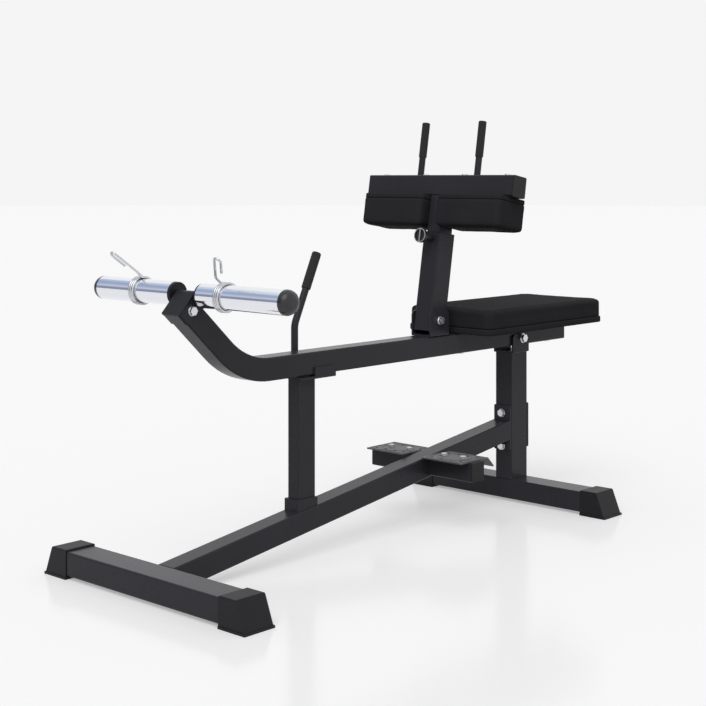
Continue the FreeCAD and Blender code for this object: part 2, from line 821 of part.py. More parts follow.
def draw_arc_between(sketch, line, following, radius):
    """The tangent arc from one line's end to the next line's start."""
    first = sketch.Geometry[line].EndPoint
    last = sketch.Geometry[following].StartPoint
    way = (first - sketch.Geometry[line].StartPoint).normalize()
    left = V(-way.y, way.x, 0)
    sign = 1 if left.dot(last - first) > 0 else -1
    centre = first + left * (sign * radius.number)
    ends = [first, last] if sign > 0 else [last, first]
    angles = [math.atan2(point.y - centre.y, point.x - centre.x) for point in ends]
    if angles[1] < angles[0]:
        angles[1] += math.radians(FULL_TURN)
    circle = Part.Circle(centre, V(0, 0, 1), radius.number)
    arc = sketch.addGeometry(Part.ArcOfCircle(circle, angles[0], angles[1]))
    sketch.addConstraint(Sketcher.Constraint("Coincident", line, 2, arc, 1 if sign > 0 else 2))
    sketch.addConstraint(Sketcher.Constraint("Coincident", following, 1, arc, 2 if sign > 0 else 1))
    radius_of(sketch, arc, radius)


def lever_outline(sketch, half, over):
    """The lever's side view at a stated half height, level and then raised round one bend."""
    reach = s.lever_bend * tan_of(s.nose_angle / 2)
    first_x = s.lever_corner_x + reach
    last = (s.lever_corner_x - reach * cos_of(s.nose_angle), lever_middle + reach * sin_of(s.nose_angle))
    nose = (nose_x - over * cos_of(s.nose_angle), nose_z + over * sin_of(s.nose_angle))
    off = (half * sin_of(s.nose_angle), half * cos_of(s.nose_angle))
    rear = lever_rear + over
    runs = [((rear, lever_middle - half), (first_x, lever_middle - half)),
            ((last[0] - off[0], last[1] - off[1]), (nose[0] - off[0], nose[1] - off[1])),
            ((nose[0] - off[0], nose[1] - off[1]), (nose[0] + off[0], nose[1] + off[1])),
            ((nose[0] + off[0], nose[1] + off[1]), (last[0] + off[0], last[1] + off[1])),
            ((first_x, lever_middle + half), (rear, lever_middle + half)),
            ((rear, lever_middle + half), (rear, lever_middle - half))]
    bends = [s.lever_bend + half, None, None, s.lever_bend - half, None, None]
    draw_runs(sketch, runs, bends)


def lever_beam():
    """The long tube, level at its rear and bent up at its weight end."""
    body = new_body("lever_beam")
    half = s.lever_side / 2
    outline = sketch_on(body, "XZ_Plane")
    lever_outline(outline, half, s.lever_side * 0)
    pad(body, outline, s.lever_side, both=True)
    soften(body, "Fillet", s.tube_corner, lambda edge: edge.Length > s.lever_side.number + 1)
    hollow = sketch_on(body, "XZ_Plane")
    lever_outline(hollow, half - s.frame_wall, s.frame_wall)
    pocket(body, hollow, s.lever_side - 2 * s.frame_wall)
    drill(body, "XZ_Plane", [(pivot_x, pivot_z)], s.pivot_sleeve_radius + s.sleeve_fit)
    drill(body, "XZ_Plane", [(nose_bolt_x, nose_bolt_z)], s.bolt_hole)
    drill(body, "XY_Plane", [(seat_front + s.seat_bolt_inset, 0), (seat_rear - s.seat_bolt_back, 0)],
          s.screw_hole, pivot_z * 2, both=False, back=True)


def lever_caps():
    nose = nose_body("lever_nose_cap")
    half = s.lever_side / 2
    inner = half - s.frame_wall - s.plug_fit
    flange = sketch_on(nose, "XY_Plane", s.nose_bolt_back)
    draw_rounded(flange, (-yoke_half, -yoke_half), (yoke_half, yoke_half), s.tube_corner)
    pad(nose, flange, s.nose_cap)
    plug = sketch_on(nose, "XY_Plane", s.nose_bolt_back)
    draw_box(plug, (-inner, -inner), (inner, inner))
    pad(nose, plug, s.plug_depth, back=True)
    rear = new_body("lever_rear_cap", lever_rear, 0, lever_middle)
    flange = sketch_on(rear, "YZ_Plane")
    draw_rounded(flange, (-half, -half), (half, half), s.tube_corner)
    pad(rear, flange, s.lever_end_cap)
    plug = sketch_on(rear, "YZ_Plane")
    draw_box(plug, (-inner, -inner), (inner, inner))
    pad(rear, plug, s.plug_depth, back=True)


def sleeve_axle():
    """A square collar over the lever's nose, with the weight sleeves' cross bar welded on top."""
    body = nose_body("sleeve_axle")
    collar = sketch_on(body, "XY_Plane", s.nose_bolt_back)
    bore = s.lever_side / 2 + s.yoke_fit
    draw_rounded(collar, (-yoke_half, -yoke_half), (yoke_half, yoke_half), s.tube_corner + s.yoke_wall)
    draw_rounded(collar, (-bore, -bore), (bore, bore), s.tube_corner)
    pad(body, collar, s.yoke_top_length, back=True)
    heel = s.nose_bolt_back - s.yoke_top_length
    slant = sketch_on(body, "XZ_Plane")
    draw_polygon(slant, [(-yoke_half, heel), (yoke_half, heel),
                         (-yoke_half, s.nose_bolt_back - s.yoke_low_length)])
    pocket(body, slant, 2 * yoke_half)
    weld = sketch_on(body, "XZ_Plane")
    draw_box(weld, (yoke_half - s.yoke_wall, s.axle_ahead - s.axle_weld),
             (axle_off, s.axle_ahead + s.axle_weld))
    pad(body, weld, s.lever_side, both=True)
    bar = sketch_on(body, "XZ_Plane")
    draw_circle(bar, (axle_off, s.axle_ahead), s.axle_radius)
    pad(body, bar, 2 * s.axle_end, both=True)
    drill(body, "XZ_Plane", [(0, 0)], s.bolt_hole)


def weight_sleeves():
    inner = s.sleeve_radius - s.sleeve_wall
    bore = s.axle_radius + s.sleeve_fit
    rim = s.sleeve_radius - s.sleeve_plug_inset
    fit = inner - s.sleeve_fit
    plugs = new_body("sleeve_plugs", axle_x, 0, axle_z)
    caps = new_body("sleeve_caps", axle_x, 0, axle_z)
    for side, word in ((-1, "left"), (1, "right")):
        sleeve = new_body(f"{word}_weight_sleeve", axle_x, 0, axle_z)
        turn(sleeve, [(side * s.sleeve_start, inner), (side * s.sleeve_stop, inner),
                      (side * s.sleeve_stop, s.sleeve_radius), (side * s.sleeve_start, s.sleeve_radius)],
             "YZ_Plane", "H_Axis")
        start = side * (s.sleeve_start - s.sleeve_plug)
        depth = side * (s.sleeve_start + s.sleeve_plug_depth)
        turn(plugs, [(start, bore), (depth, bore), (depth, fit), (side * s.sleeve_start, fit),
                     (side * s.sleeve_start, rim), (start, rim)], "YZ_Plane", "H_Axis")
        foot = s.sleeve_stop - s.sleeve_plug_depth + s.sleeve_fit
        crown = side * (s.sleeve_stop + s.dome_height)
        turn(caps, [(side * foot, 0), (side * foot, fit), (side * s.sleeve_stop, fit),
                    (side * s.sleeve_stop, s.sleeve_radius), (crown, s.sleeve_radius), (crown, 0)],
             "YZ_Plane", "H_Axis")
        soften(caps, "Fillet", s.dome_round, on_plane(1, crown))


def lever_bolts():
    """The bolt through the lever's nose and the hinge bolt of the knee post."""
    bolts = new_body("lever_bolts", 0, 0, 0, V(1, 0, 0), QUARTER_TURN)
    nuts = new_body("lever_nuts", 0, 0, 0, V(1, 0, 0), -QUARTER_TURN)
    bracket = s.post_width / 2 + s.knee_bracket_gap + s.knee_bracket_plate
    for x, z, outer in ((nose_bolt_x, nose_bolt_z, yoke_half), (hinge_x, hinge_z, bracket)):
        length = 2 * outer + s.washer_thick + s.nut_height + s.bolt_tail
        add_bolts(bolts, [(x, z)], s.bolt_radius, length, s.bolt_flats, s.bolt_head,
                  s.washer_radius, s.washer_thick, outer)
        add_nuts(nuts, [(x, -z)], s.bolt_radius, s.bolt_flats, s.nut_height,
                 s.washer_radius, s.washer_thick, outer)


# Seat

def cushion(body, low, high, corner, base, thick, way):
    """A padded block on a board: straight sides, rounded edges and a slightly crowned face."""
    edge = base + way * (thick - s.cushion_crown)
    block = sketch_on(body, "XY_Plane", base)
    draw_rounded(block, low, high, corner)
    pad(body, block, thick - s.cushion_crown, back=way < 0)
    soften(body, "Fillet", s.cushion_round, on_plane(2, edge))
    soften(body, "Fillet", s.cushion_seam, on_plane(2, base))
    crown = []
    for inset, lift in ((s.cushion_round, edge), (s.cushion_crown_inset, base + way * thick)):
        outline = sketch_on(body, "XY_Plane", lift)
        draw_rounded(outline, (low[0] + inset, low[1] + inset), (high[0] - inset, high[1] - inset),
                     corner / 2)
        crown.append(outline)
    loft = body.newObject("PartDesign::AdditiveLoft", f"{body.Name}_loft")
    loft.Profile = crown[0]
    loft.Sections = crown[1:]
    loft.Ruled = True


def seat():
    board = new_body("seat_board", seat_front, 0, lever_top)
    half = s.seat_width / 2
    length = s.seat_length
    inset = s.seat_cushion_inset
    outline = sketch_on(board, "XY_Plane")
    draw_rounded(outline, (0 * length, -half), (length, half), s.seat_corner)
    pad(board, outline, s.seat_board)
    spots = [(s.seat_bolt_inset, 0), (length - s.seat_bolt_back, 0)]
    drill(board, "XY_Plane", spots, s.screw_hole, s.seat_board - s.seat_bolt_stop / 2, both=False, back=True)
    pillow = new_body("seat_cushion", seat_front, 0, lever_top + s.seat_board)
    cushion(pillow, (0 + inset, inset - half), (length - inset, half - inset), s.seat_corner, 0 * half,
            s.seat_cushion, 1)
    bolts = new_body("seat_bolts", 0, 0, lever_low, V(1, 0, 0), HALF_TURN)
    length = s.lever_side + s.seat_board - s.seat_bolt_stop
    spots = [(seat_front + s.seat_bolt_inset, 0), (seat_rear - s.seat_bolt_back, 0)]
    add_bolts(bolts, spots, s.screw_radius, length, s.screw_flats,
              s.screw_head, s.screw_washer_radius, s.screw_washer)


# Knee post

def knee_post():
    half = s.post_width / 2 + s.knee_bracket_gap
    u_bracket("knee_bracket", hinge_x, lever_top, s.knee_bracket_length, half, s.knee_bracket_plate,
              hinge_z + s.knee_bracket_over, (hinge_x, hinge_z), s.bolt_hole, s.knee_bracket_round)
    post = knee_body("knee_outer_post")
    box_tube(post, "XY_Plane", s.post_length / 2, s.post_width / 2, s.frame_wall,
             s.post_top - post_low, post_low)
    drill(post, "XZ_Plane", [(0, 0)], s.bolt_radius + s.pin_fit)
    drill(post, "YZ_Plane", [(0, s.pin_height)], s.pin_radius + s.pin_fit, s.post_length, both=False)
    bushing = knee_body("post_bushing")
    lip = sketch_on(bushing, "XY_Plane", s.post_top)
    inner = (s.inner_length / 2 + s.slide_play, s.inner_width / 2 + s.slide_play)
    outer = (s.post_length / 2, s.post_width / 2)
    draw_rounded(lip, (-outer[0], -outer[1]), outer, s.tube_corner)
    draw_box(lip, (-inner[0], -inner[1]), inner)
    pad(bushing, lip, s.bushing_lip)
    skirt = sketch_on(bushing, "XY_Plane", s.post_top)
    fit = (outer[0] - s.frame_wall - s.bushing_fit, outer[1] - s.frame_wall - s.bushing_fit)
    draw_box(skirt, (-fit[0], -fit[1]), fit)
    draw_box(skirt, (-inner[0], -inner[1]), inner)
    pad(bushing, skirt, s.bushing_depth, back=True)
    drill(bushing, "YZ_Plane", [(0, s.pin_height)], s.pin_hole, s.post_length, both=False)
    slider = knee_body("knee_inner_post")
    box_tube(slider, "XY_Plane", s.inner_length / 2, s.inner_width / 2, s.frame_wall,
             s.cross_low - s.inner_start, s.inner_start)
    holes = [(0, s.pin_height - s.height_step * step) for step in range(int(s.height_hole_count.number))]
    drill(slider, "YZ_Plane", holes, s.pin_hole, s.inner_length, both=False)


def pull_pin():
    """The sprung pin that locks the pad height: barrel, spring, pin and pull knob."""
    barrel = knee_body("pull_pin_barrel", s.pin_height)
    half = s.post_length / 2
    guide = s.stem_radius + s.pin_fit
    turn(barrel, [(-half, s.barrel_bore), (-half, s.barrel_radius), (-s.barrel_end, s.barrel_radius),
                  (-s.barrel_end, guide), (-s.barrel_shoulder, guide), (-s.barrel_shoulder, s.barrel_bore)],
         "XZ_Plane", "H_Axis")

    def outer_rim(edge):
        return on_plane(0, -s.barrel_end)(edge) and edge.BoundBox.ZLength > 2 * s.stem_radius.number + 1

    soften(barrel, "Fillet", s.barrel_round, outer_rim)
    pin = knee_body("pull_pin", s.pin_height)
    collar_end = s.collar_start + s.collar_length
    stem_end = s.knob_start + s.stem_in_knob
    turn(pin, [(-s.pin_tip, 0), (-s.pin_tip, s.pin_radius - s.pin_tip_chamfer),
               (-s.pin_tip - s.pin_tip_chamfer, s.pin_radius), (-s.collar_start, s.pin_radius),
               (-s.collar_start, s.collar_radius), (-collar_end, s.collar_radius),
               (-collar_end, s.stem_radius), (-stem_end, s.stem_radius), (-stem_end, 0)],
         "XZ_Plane", "H_Axis")
    knob = knee_body("pull_pin_knob", s.pin_height)
    front = s.knob_start + s.knob_thick
    hole = s.stem_radius + s.nut_fit
    turn(knob, [(-s.knob_start, hole), (-s.knob_start, s.knob_radius), (-front, s.knob_radius), (-front, 0),
                (-stem_end, 0), (-stem_end, hole)], "XZ_Plane", "H_Axis")

    def knob_rim(edge):
        return on_plane(0, -front)(edge) or (on_plane(0, -s.knob_start)(edge)
                                             and edge.BoundBox.ZLength > s.knob_radius.number)

    soften(knob, "Fillet", s.knob_round, knob_rim)
    recess = sketch_on(knob, "YZ_Plane", -front)
    draw_circle(recess, (0, 0), s.knob_radius - s.knob_rim)
    pocket(knob, recess, s.knob_recess, both=False, back=True)
    bar = sketch_on(knob, "YZ_Plane", -front + s.knob_recess)
    reach = s.knob_radius - s.knob_rim
    draw_box(bar, (-s.knob_bar / 2, -reach), (s.knob_bar / 2, reach))
    pad(knob, bar, s.knob_recess, back=True)


def knee_crossbeam():
    beam = knee_body("knee_crossbeam")
    half = s.cross_side / 2
    box_tube(beam, "XZ_Plane", half, half, s.frame_wall, 2 * s.cross_half,
             centre=(0 * half, s.cross_low + half), both=True)
    spots = [(0, side * out) for side in (-1, 1) for out in (s.pad_bolt_inner, s.pad_bolt_outer)]
    drill(beam, "XY_Plane", spots, s.screw_hole, cross_high + s.cross_side, both=False, back=True)
    caps = knee_body("crossbeam_caps")
    inner = half - s.frame_wall - s.plug_fit
    up = s.cross_low + half
    for side in (-1, 1):
        flange = sketch_on(caps, "XZ_Plane", -side * s.cross_half)
        draw_rounded(flange, (-half, s.cross_low), (half, cross_high), s.tube_corner)
        pad(caps, flange, s.cross_cap, back=side > 0)
        plug = sketch_on(caps, "XZ_Plane", -side * s.cross_half)
        draw_box(plug, (-inner, up - inner), (inner, up + inner))
        pad(caps, plug, s.plug_depth, back=side < 0)
    bolts = knee_body("pad_bolts", cross_high)
    length = s.cross_side + s.board_thick - s.pad_bolt_stop
    add_bolts(bolts, spots, s.screw_radius, length, s.screw_flats, s.screw_head,
              s.screw_washer_radius, s.screw_washer)


def knee_pads():
    boards = knee_body("pad_boards")
    inset = s.board_inset
    for side, word in ((-1, "left"), (1, "right")):
        near = s.pad_start if side > 0 else -s.pad_start - s.pad_length
        low = (-s.pad_half, near)
        high = (s.pad_half, near + s.pad_length)
        outline = sketch_on(boards, "XY_Plane", board_low)
        draw_rounded(outline, (low[0] + inset, low[1] + inset), (high[0] - inset, high[1] - inset),
                     s.pad_corner)
        pad(boards, outline, s.board_thick)
        pillow = knee_body(f"{word}_knee_pad")
        cushion(pillow, low, high, s.pad_corner, board_low, board_low - s.pad_low, -1)
    spots = [(0, side * out) for side in (-1, 1) for out in (s.pad_bolt_inner, s.pad_bolt_outer)]
    drill(boards, "XY_Plane", spots, s.screw_hole, s.board_thick - s.pad_bolt_stop / 2, both=False,
          lift=s.cross_low)


def knee_handles():
    handles = knee_body("knee_handles", cross_high, s.handle_u)
    rods = sketch_on(handles, "XY_Plane")
    for side in (-1, 1):
        draw_circle(rods, (0, side * s.handle_out), s.rod_radius)
    pad(handles, rods, s.handle_rise)
    grips = knee_body("knee_grips", cross_high + s.handle_rise + s.knee_grip_top, s.handle_u)
    outer = sketch_on(grips, "XY_Plane")
    for side in (-1, 1):
        draw_circle(outer, (0, side * s.handle_out), s.knee_grip_radius)
    pad(grips, outer, s.knee_grip_length, back=True)

    def top_rim(edge):
        box = edge.BoundBox
        return abs(box.ZMax) < 1e-3 and abs(box.ZMin) < 1e-3

    soften(grips, "Fillet", s.knee_grip_round, top_rim)
    bores = [(0, side * s.handle_out) for side in (-1, 1)]
    drill(grips, "XY_Plane", bores, s.rod_radius + s.grip_fit, s.knee_grip_length, both=False,
          lift=-s.knee_grip_top)


# Catch

def catch_foot():
    """The bracket on the beam that the catch post turns in, with its web as the stop."""
    bracket = new_body("catch_bracket")
    start = s.catch_x - s.catch_rest_gap - s.catch_web
    stop = s.catch_x + s.catch_length + s.catch_ear_reach
    top = catch_pin_z - s.catch_pin_rise + s.catch_ear_rise
    inner = s.catch_width / 2 + s.catch_side_gap
    outline = sketch_on(bracket, "XZ_Plane")
    draw_polygon(outline, [(start, beam_top_at(start)), (stop, beam_top_at(stop)), (stop, top), (start, top)])
    pad(bracket, outline, 2 * (inner + s.catch_ear), both=True)
    hollow = sketch_on(bracket, "XZ_Plane")
    inside = start + s.catch_web
    over = s.catch_ear_rise
    draw_polygon(hollow, [(inside, beam_top_at(inside) - over), (stop + over, beam_top_at(stop) - over),
                          (stop + over, top + over), (inside, top + over)])
    pocket(bracket, hollow, 2 * inner)
    drill(bracket, "XZ_Plane", [(catch_middle, catch_pin_z)], s.catch_pin_radius + s.catch_pin_fit)
    pin = new_body("catch_pin", catch_middle, 0, catch_pin_z)
    rod = sketch_on(pin, "XZ_Plane")
    draw_circle(rod, (0, 0), s.catch_pin_radius)
    pad(pin, rod, 2 * (inner + s.catch_ear), both=True)


def catch_post():
    """The swinging post: its foot is rounded off in front and cut away behind, to turn freely."""
    body = new_body("catch_post")
    rear = s.catch_x + s.catch_length
    reach = s.catch_length / 2
    heel = beam_top_at(catch_middle) + s.catch_foot_gap
    toe = [(catch_middle - reach * cos_of(angle), catch_pin_z - reach * sin_of(angle))
           for angle in (s.catch_toe_angle / 2, s.catch_toe_angle)]
    outline = sketch_on(body, "XZ_Plane")
    draw_polygon(outline, [(s.catch_x, catch_pin_z), toe[0], toe[1], (catch_middle, heel),
                           (rear, heel + reach * tan_of(s.catch_relief_angle)),
                           (rear, saddle_low), (s.catch_x, saddle_low)])
    pad(body, outline, s.catch_width, both=True)

    def long_edge(edge):
        spans = span(edge)
        return spans[2] > s.catch_length.number * 2 and spans[0] + spans[1] < 1e-3

    soften(body, "Fillet", s.catch_corner, long_edge)
    hollow = sketch_on(body, "XY_Plane")
    half = s.catch_width / 2 - s.frame_wall
    draw_box(hollow, (s.catch_x + s.frame_wall, -half), (rear - s.frame_wall, half))
    pocket(body, hollow, 2 * lever_low, both=True)
    drill(body, "XZ_Plane", [(catch_middle, catch_pin_z)], s.catch_pin_radius + s.catch_pin_fit)


def catch_top():
    saddle = new_body("catch_saddle", s.catch_x, 0, saddle_low)
    plate = sketch_on(saddle, "XY_Plane")
    reach = s.catch_length + s.saddle_reach
    draw_box(plate, (0, -saddle_half), (reach, saddle_half))
    pad(saddle, plate, s.saddle_plate)
    flanges = sketch_on(saddle, "XY_Plane")
    inner = saddle_half - s.saddle_flange
    draw_box(flanges, (s.saddle_start, inner), (reach, saddle_half))
    draw_box(flanges, (s.saddle_start, -saddle_half), (reach, -inner))
    pad(saddle, flanges, s.saddle_high)

    def upper_corner(edge):
        return runs_along(1, s.saddle_flange)(edge) and edge.BoundBox.ZMin > s.saddle_plate.number + 1e-3

    soften(saddle, "Fillet", s.saddle_flange, upper_corner)
    block = new_body("catch_pad", catch_middle, 0, catch_pin_z)
    arc_radius = lever_low - s.catch_rest_gap - catch_pin_z
    half = s.catch_length / 2 - s.catch_pad_inset
    low = saddle_low + s.saddle_plate - catch_pin_z
    edge_z = root_of(arc_radius * arc_radius - half * half)
    sketch = sketch_on(block, "XZ_Plane")
    corners = [(-half, edge_z), (-half, low), (half, low), (half, edge_z)]
    lines = [draw_line(sketch, corners[place], corners[place + 1]) for place in range(3)]
    for place, line in enumerate(lines):
        pin_point(sketch, line, 1, corners[place])
        if place:
            sketch.addConstraint(Sketcher.Constraint("Coincident", lines[place - 1], 2, line, 1))
    pin_point(sketch, lines[-1], 2, corners[-1])
    circle = Part.Circle(V(0, 0, 0), V(0, 0, 1), arc_radius.number)
    lean = math.asin(half.number / arc_radius.number)
    upright = math.radians(QUARTER_TURN)
    crown = sketch.addGeometry(Part.ArcOfCircle(circle, upright - lean, upright + lean))
    sketch.addConstraint(Sketcher.Constraint("Coincident", lines[-1], 2, crown, 1))
    sketch.addConstraint(Sketcher.Constraint("Coincident", lines[0], 1, crown, 2))
    radius_of(sketch, crown, arc_radius)
    pad(block, sketch, s.catch_pad_width, both=True)


def sweep(body, profile, path):
    feature = add_feature(body, "AdditivePipe", profile)
    feature.Spine = (path, [f"Edge{place}" for place in range(1, len(path.Shape.Edges) + 1)])
    return feature


def catch_handle():
    """A bent rod up the far side of the lever, with a grip within reach of the seat."""
    rod = new_body("catch_rod", s.rod_x, rod_y, 0)
    path = sketch_on(rod, "XZ_Plane")
    tip = (s.rod_length * sin_of(s.rod_lean_angle), s.rod_corner + s.rod_length * cos_of(s.rod_lean_angle))
    reach = s.rod_bend * tan_of(s.rod_lean_angle / 2)
    bent = (reach * sin_of(s.rod_lean_angle), s.rod_corner + reach * cos_of(s.rod_lean_angle))
    draw_runs(path, [((0, s.rod_start), (0, s.rod_corner - reach)), (bent, tip)], [s.rod_bend, None],
              closed=False)
    profile = sketch_on(rod, "XY_Plane", s.rod_start)
    draw_circle(profile, (0, 0), s.rod_radius)
    doc.recompute()
    sweep(rod, profile, path)
    top = s.rod_length + s.grip_top
    grip = new_body("catch_grip", s.rod_x + top * sin_of(s.rod_lean_angle), rod_y,
                    s.rod_corner + top * cos_of(s.rod_lean_angle), V(0, 1, 0), s.rod_lean_angle)
    bore = s.rod_radius + s.grip_fit
    turn(grip, [(0, 0), (0, -s.grip_top), (bore, -s.grip_top), (bore, -s.grip_length),
                (s.grip_radius, -s.grip_length), (s.grip_radius, 0)])

    def top_rim(edge):
        box = edge.BoundBox
        return abs(box.ZMax) < 1e-3 and abs(box.ZMin) < 1e-3 and box.XLength > s.grip_radius.number

    soften(grip, "Fillet", s.grip_round, top_rim)


# Wire springs

def biarc(start, start_way, stop, stop_way):
    """Two arcs that leave one point along a direction and reach another along a second one."""
    chord = stop - start
    ways = start_way + stop_way
    across = chord.dot(ways)
    square = ways.dot(ways)
    if abs(4 - square) < 1e-9:
        reach = chord.dot(chord) / (4 * chord.dot(stop_way))
    else:
        reach = (-across + math.sqrt(across * across + chord.dot(chord) * (4 - square))) / (4 - square)
    first = start + start_way * reach
    second = stop - stop_way * reach
    joint = (first + second) * 0.5
    return [tangent_arc(start, first, joint), tangent_arc(joint, second, stop)]


def tangent_arc(start, apex, stop):
    """The arc that touches two equal sides of a triangle at their outer ends."""
    base = (start + stop) * 0.5
    inward = base - apex
    side = (start - apex).Length
    half = (start - base).Length
    radius = half * side / inward.Length
    crest = apex + inward * ((math.sqrt(side * side + radius * radius) - radius) / inward.Length)
    return Part.Arc(start, crest, stop).toShape()


def helix_edges(radius, pitch, first_angle, turns, start_y):
    """A coil about the Y axis in quarter turns of two arcs each, and its end directions."""
    def point(angle):
        return V(radius * math.cos(angle), start_y + pitch * (angle - first_angle) / (2 * math.pi),
                 radius * math.sin(angle))

    def way(angle):
        direction = V(-radius * math.sin(angle), pitch / (2 * math.pi), radius * math.cos(angle))
        return direction.normalize()

    count = max(1, math.ceil(turns * 4))
    step = turns * 2 * math.pi / count
    edges = []
    for place in range(count):
        low = first_angle + place * step
        edges += biarc(point(low), way(low), point(low + step), way(low + step))
    last = first_angle + turns * 2 * math.pi
    return edges, (point(first_angle), way(first_angle)), (point(last), way(last))


def wire_tube(edges, radius):
    """One unbroken round wire along a chain of tangent arcs and lines."""
    path = Part.Wire(Part.__sortEdges__(edges))
    start = path.OrderedVertexes[0].Point
    first = path.OrderedEdges[0]
    way = first.tangentAt(first.FirstParameter)
    if (first.valueAt(first.FirstParameter) - start).Length > 1e-4:
        way = first.tangentAt(first.LastParameter)
    ring = Part.Wire(Part.makeCircle(radius, start, way))
    shell = Part.BRepOffsetAPI.MakePipeShell(path)
    shell.add(ring)
    shell.build()
    shell.makeSolid()
    return shell.shape(), path


def least_gap(path, radius, skip):
    """The least distance of a wire to itself, measured on points further apart than a stretch."""
    points = path.discretize(Distance=radius)
    apart = math.ceil(skip / radius)
    nearest = min((points[one] - points[two]).Length
                  for one in range(len(points)) for two in range(one + apart, len(points)))
    return nearest - 2 * radius


def place_shape(name, shape, x, y, z, turn_axis=None, angle=0):
    """A sub-part whose shape no feature makes, placed like the others."""
    thing = doc.addObject("Part::Feature", name)
    thing.Label = name
    thing.Shape = shape
    if turn_axis is not None:
        thing.Placement.Rotation = FreeCAD.Rotation(turn_axis, angle.number)
        bind(thing, "Placement.Rotation.Angle", angle)
    bind(thing, "Placement.Base.x", x - middle)
    bind(thing, "Placement.Base.y", y)
    bind(thing, "Placement.Base.z", z)
    parts.append(thing)


def clip_handle(start, way, outward, side):
    """A clip's handle: a bend off the coil, a neck, a lean outboard, a leg and a finger loop."""
    across = V(0, 1, 0)
    flat = V(way.x, 0, way.z).normalize()
    neck = FreeCAD.Rotation(across, outward * s.clip_bend_angle.number).multVec(flat)
    level = FreeCAD.Rotation(across, outward * s.clip_turn_angle.number).multVec(neck)
    lean = math.radians(s.clip_lean_angle.number)
    leg = level * math.cos(lean) + across * (side * math.sin(lean))
    out = (across * side - leg * math.sin(lean)).normalize()
    edges = []

    def bend(begin, heading, new_heading, radius):
        """A tangent arc from one heading into another, with the point where it ends."""
        reach = radius * math.tan(heading.getAngle(new_heading) / 2)
        apex = begin + heading * reach
        edges.append(tangent_arc(begin, apex, apex + new_heading * reach))
        return apex + new_heading * reach

    def straight(begin, heading, length):
        edges.append(Part.makeLine(begin, begin + heading * length))
        return begin + heading * length

    point = bend(start, way, neck, s.clip_bend.number)
    point = straight(point, neck, s.clip_neck.number)
    point = bend(point, neck, leg, s.clip_turn.number)
    point = straight(point, leg, s.clip_leg.number)
    centre = point + out * s.clip_loop.number
    after = centre + out * s.clip_loop.number
    edges.append(Part.Arc(point, centre + leg * s.clip_loop.number, after).toShape())
    straight(after, -leg, s.clip_return.number)
    return edges


def spring_clip(name, y, side):
    """A wire collar round a weight sleeve: a coil with a looped handle at each end."""
    radius = s.sleeve_radius.number + s.clip_gap.number + s.clip_wire.number
    first = math.radians(s.clip_first_angle.number)
    part_turn = (s.clip_last_angle.number - s.clip_first_angle.number) / FULL_TURN
    turns = s.clip_turns.number + part_turn
    pitch = -side * s.clip_pitch.number
    edges, begin, end = helix_edges(radius, pitch, first, turns, -pitch * turns / 2)
    edges += clip_handle(end[0], end[1], 1, side)
    edges += clip_handle(begin[0], -begin[1], -1, side)
    shape, path = wire_tube(edges, s.clip_wire.number)
    print(name, "least gap to itself", round(least_gap(path, s.clip_wire.number, radius * 2), 2), "mm")
    place_shape(name, shape, axle_x, side * y, axle_z)


def pin_spring():
    """The coil behind the pull pin's collar, wound about the pin's own axis."""
    start = s.collar_start.number + s.collar_length.number + s.spring_wire.number + s.spring_seat_gap.number
    stop = s.barrel_shoulder.number - s.spring_wire.number - s.spring_seat_gap.number
    turns = s.spring_turns.number
    pitch = (stop - start) / turns
    edges, _, _ = helix_edges(s.spring_radius.number, pitch, 0, turns, start)
    for edge in edges:
        edge.rotate(V(0, 0, 0), V(0, 0, 1), QUARTER_TURN)
    shape, path = wire_tube(edges, s.spring_wire.number)
    print("pull_pin_spring least gap to itself",
          round(least_gap(path, s.spring_wire.number, s.spring_radius.number * 2), 2), "mm")
    x = hinge_x + s.pin_height * sin_of(s.knee_lean_angle)
    z = hinge_z + s.pin_height * cos_of(s.knee_lean_angle)
    place_shape("pull_pin_spring", shape, x, 0, z, V(0, 1, 0), s.knee_lean_angle)


def build():
    base_tube("front_base_tube", front_tube_x)
    base_tube("rear_base_tube", rear_tube_x)
    for x, end in ((front_tube_x, "front"), (rear_tube_x, "rear")):
        foot_cap(f"{end}_left_foot_cap", x, -1)
        foot_cap(f"{end}_right_foot_cap", x, 1)
    diagonal_beam()
    joint_plate("beam_end_plate", beam_rear)
    joint_plate("upright_back_plate", beam_rear + s.joint_plate + s.base_tube_width)
    rear_upright()
    frame_bolts()
    pivot_parts()
    foot_rest(-1, "left")
    foot_rest(1, "right")
    foot_rest_small_parts()
    lever_beam()
    lever_caps()
    sleeve_axle()
    weight_sleeves()
    lever_bolts()
    seat()
    knee_post()
    pull_pin()
    knee_crossbeam()
    knee_pads()
    knee_handles()
    catch_foot()
    catch_post()
    catch_top()
    catch_handle()
    spring_clip("left_spring_clip", s.near_clip_y, -1)
    spring_clip("right_spring_clip", s.far_clip_y, 1)
    pin_spring()
    doc.recompute()


def check():
    """Stop where an object failed, a shape is unsound or a cut took nothing away."""
    for thing in doc.Objects:
        if "Invalid" in thing.State or "Error" in thing.State:
            raise RuntimeError(f"{thing.Label}: {thing.State}")
        if thing.TypeId == "PartDesign::Pocket" and thing.BaseFeature:
            if thing.Shape.Volume > thing.BaseFeature.Shape.Volume - 1e-6:
                raise RuntimeError(f"{thing.Label}: cuts nothing")
    unsound = [part.Label for part in parts
               if part.Shape.isNull() or not part.Shape.isValid() or part.Shape.Volume <= 0]
    if unsound:
        raise RuntimeError(f"unsound shapes: {unsound}")


def export():
    os.makedirs("parts", exist_ok=True)
    for part in parts:
        part.Shape.exportStep(f"parts/{part.Label}.step")
    print(len(parts), "sub-parts written")


build()
check()
export()
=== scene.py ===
import math

import bmesh
import bpy
from bpy.props import FloatProperty, FloatVectorProperty, IntProperty, PointerProperty
from mathutils import Matrix, Vector


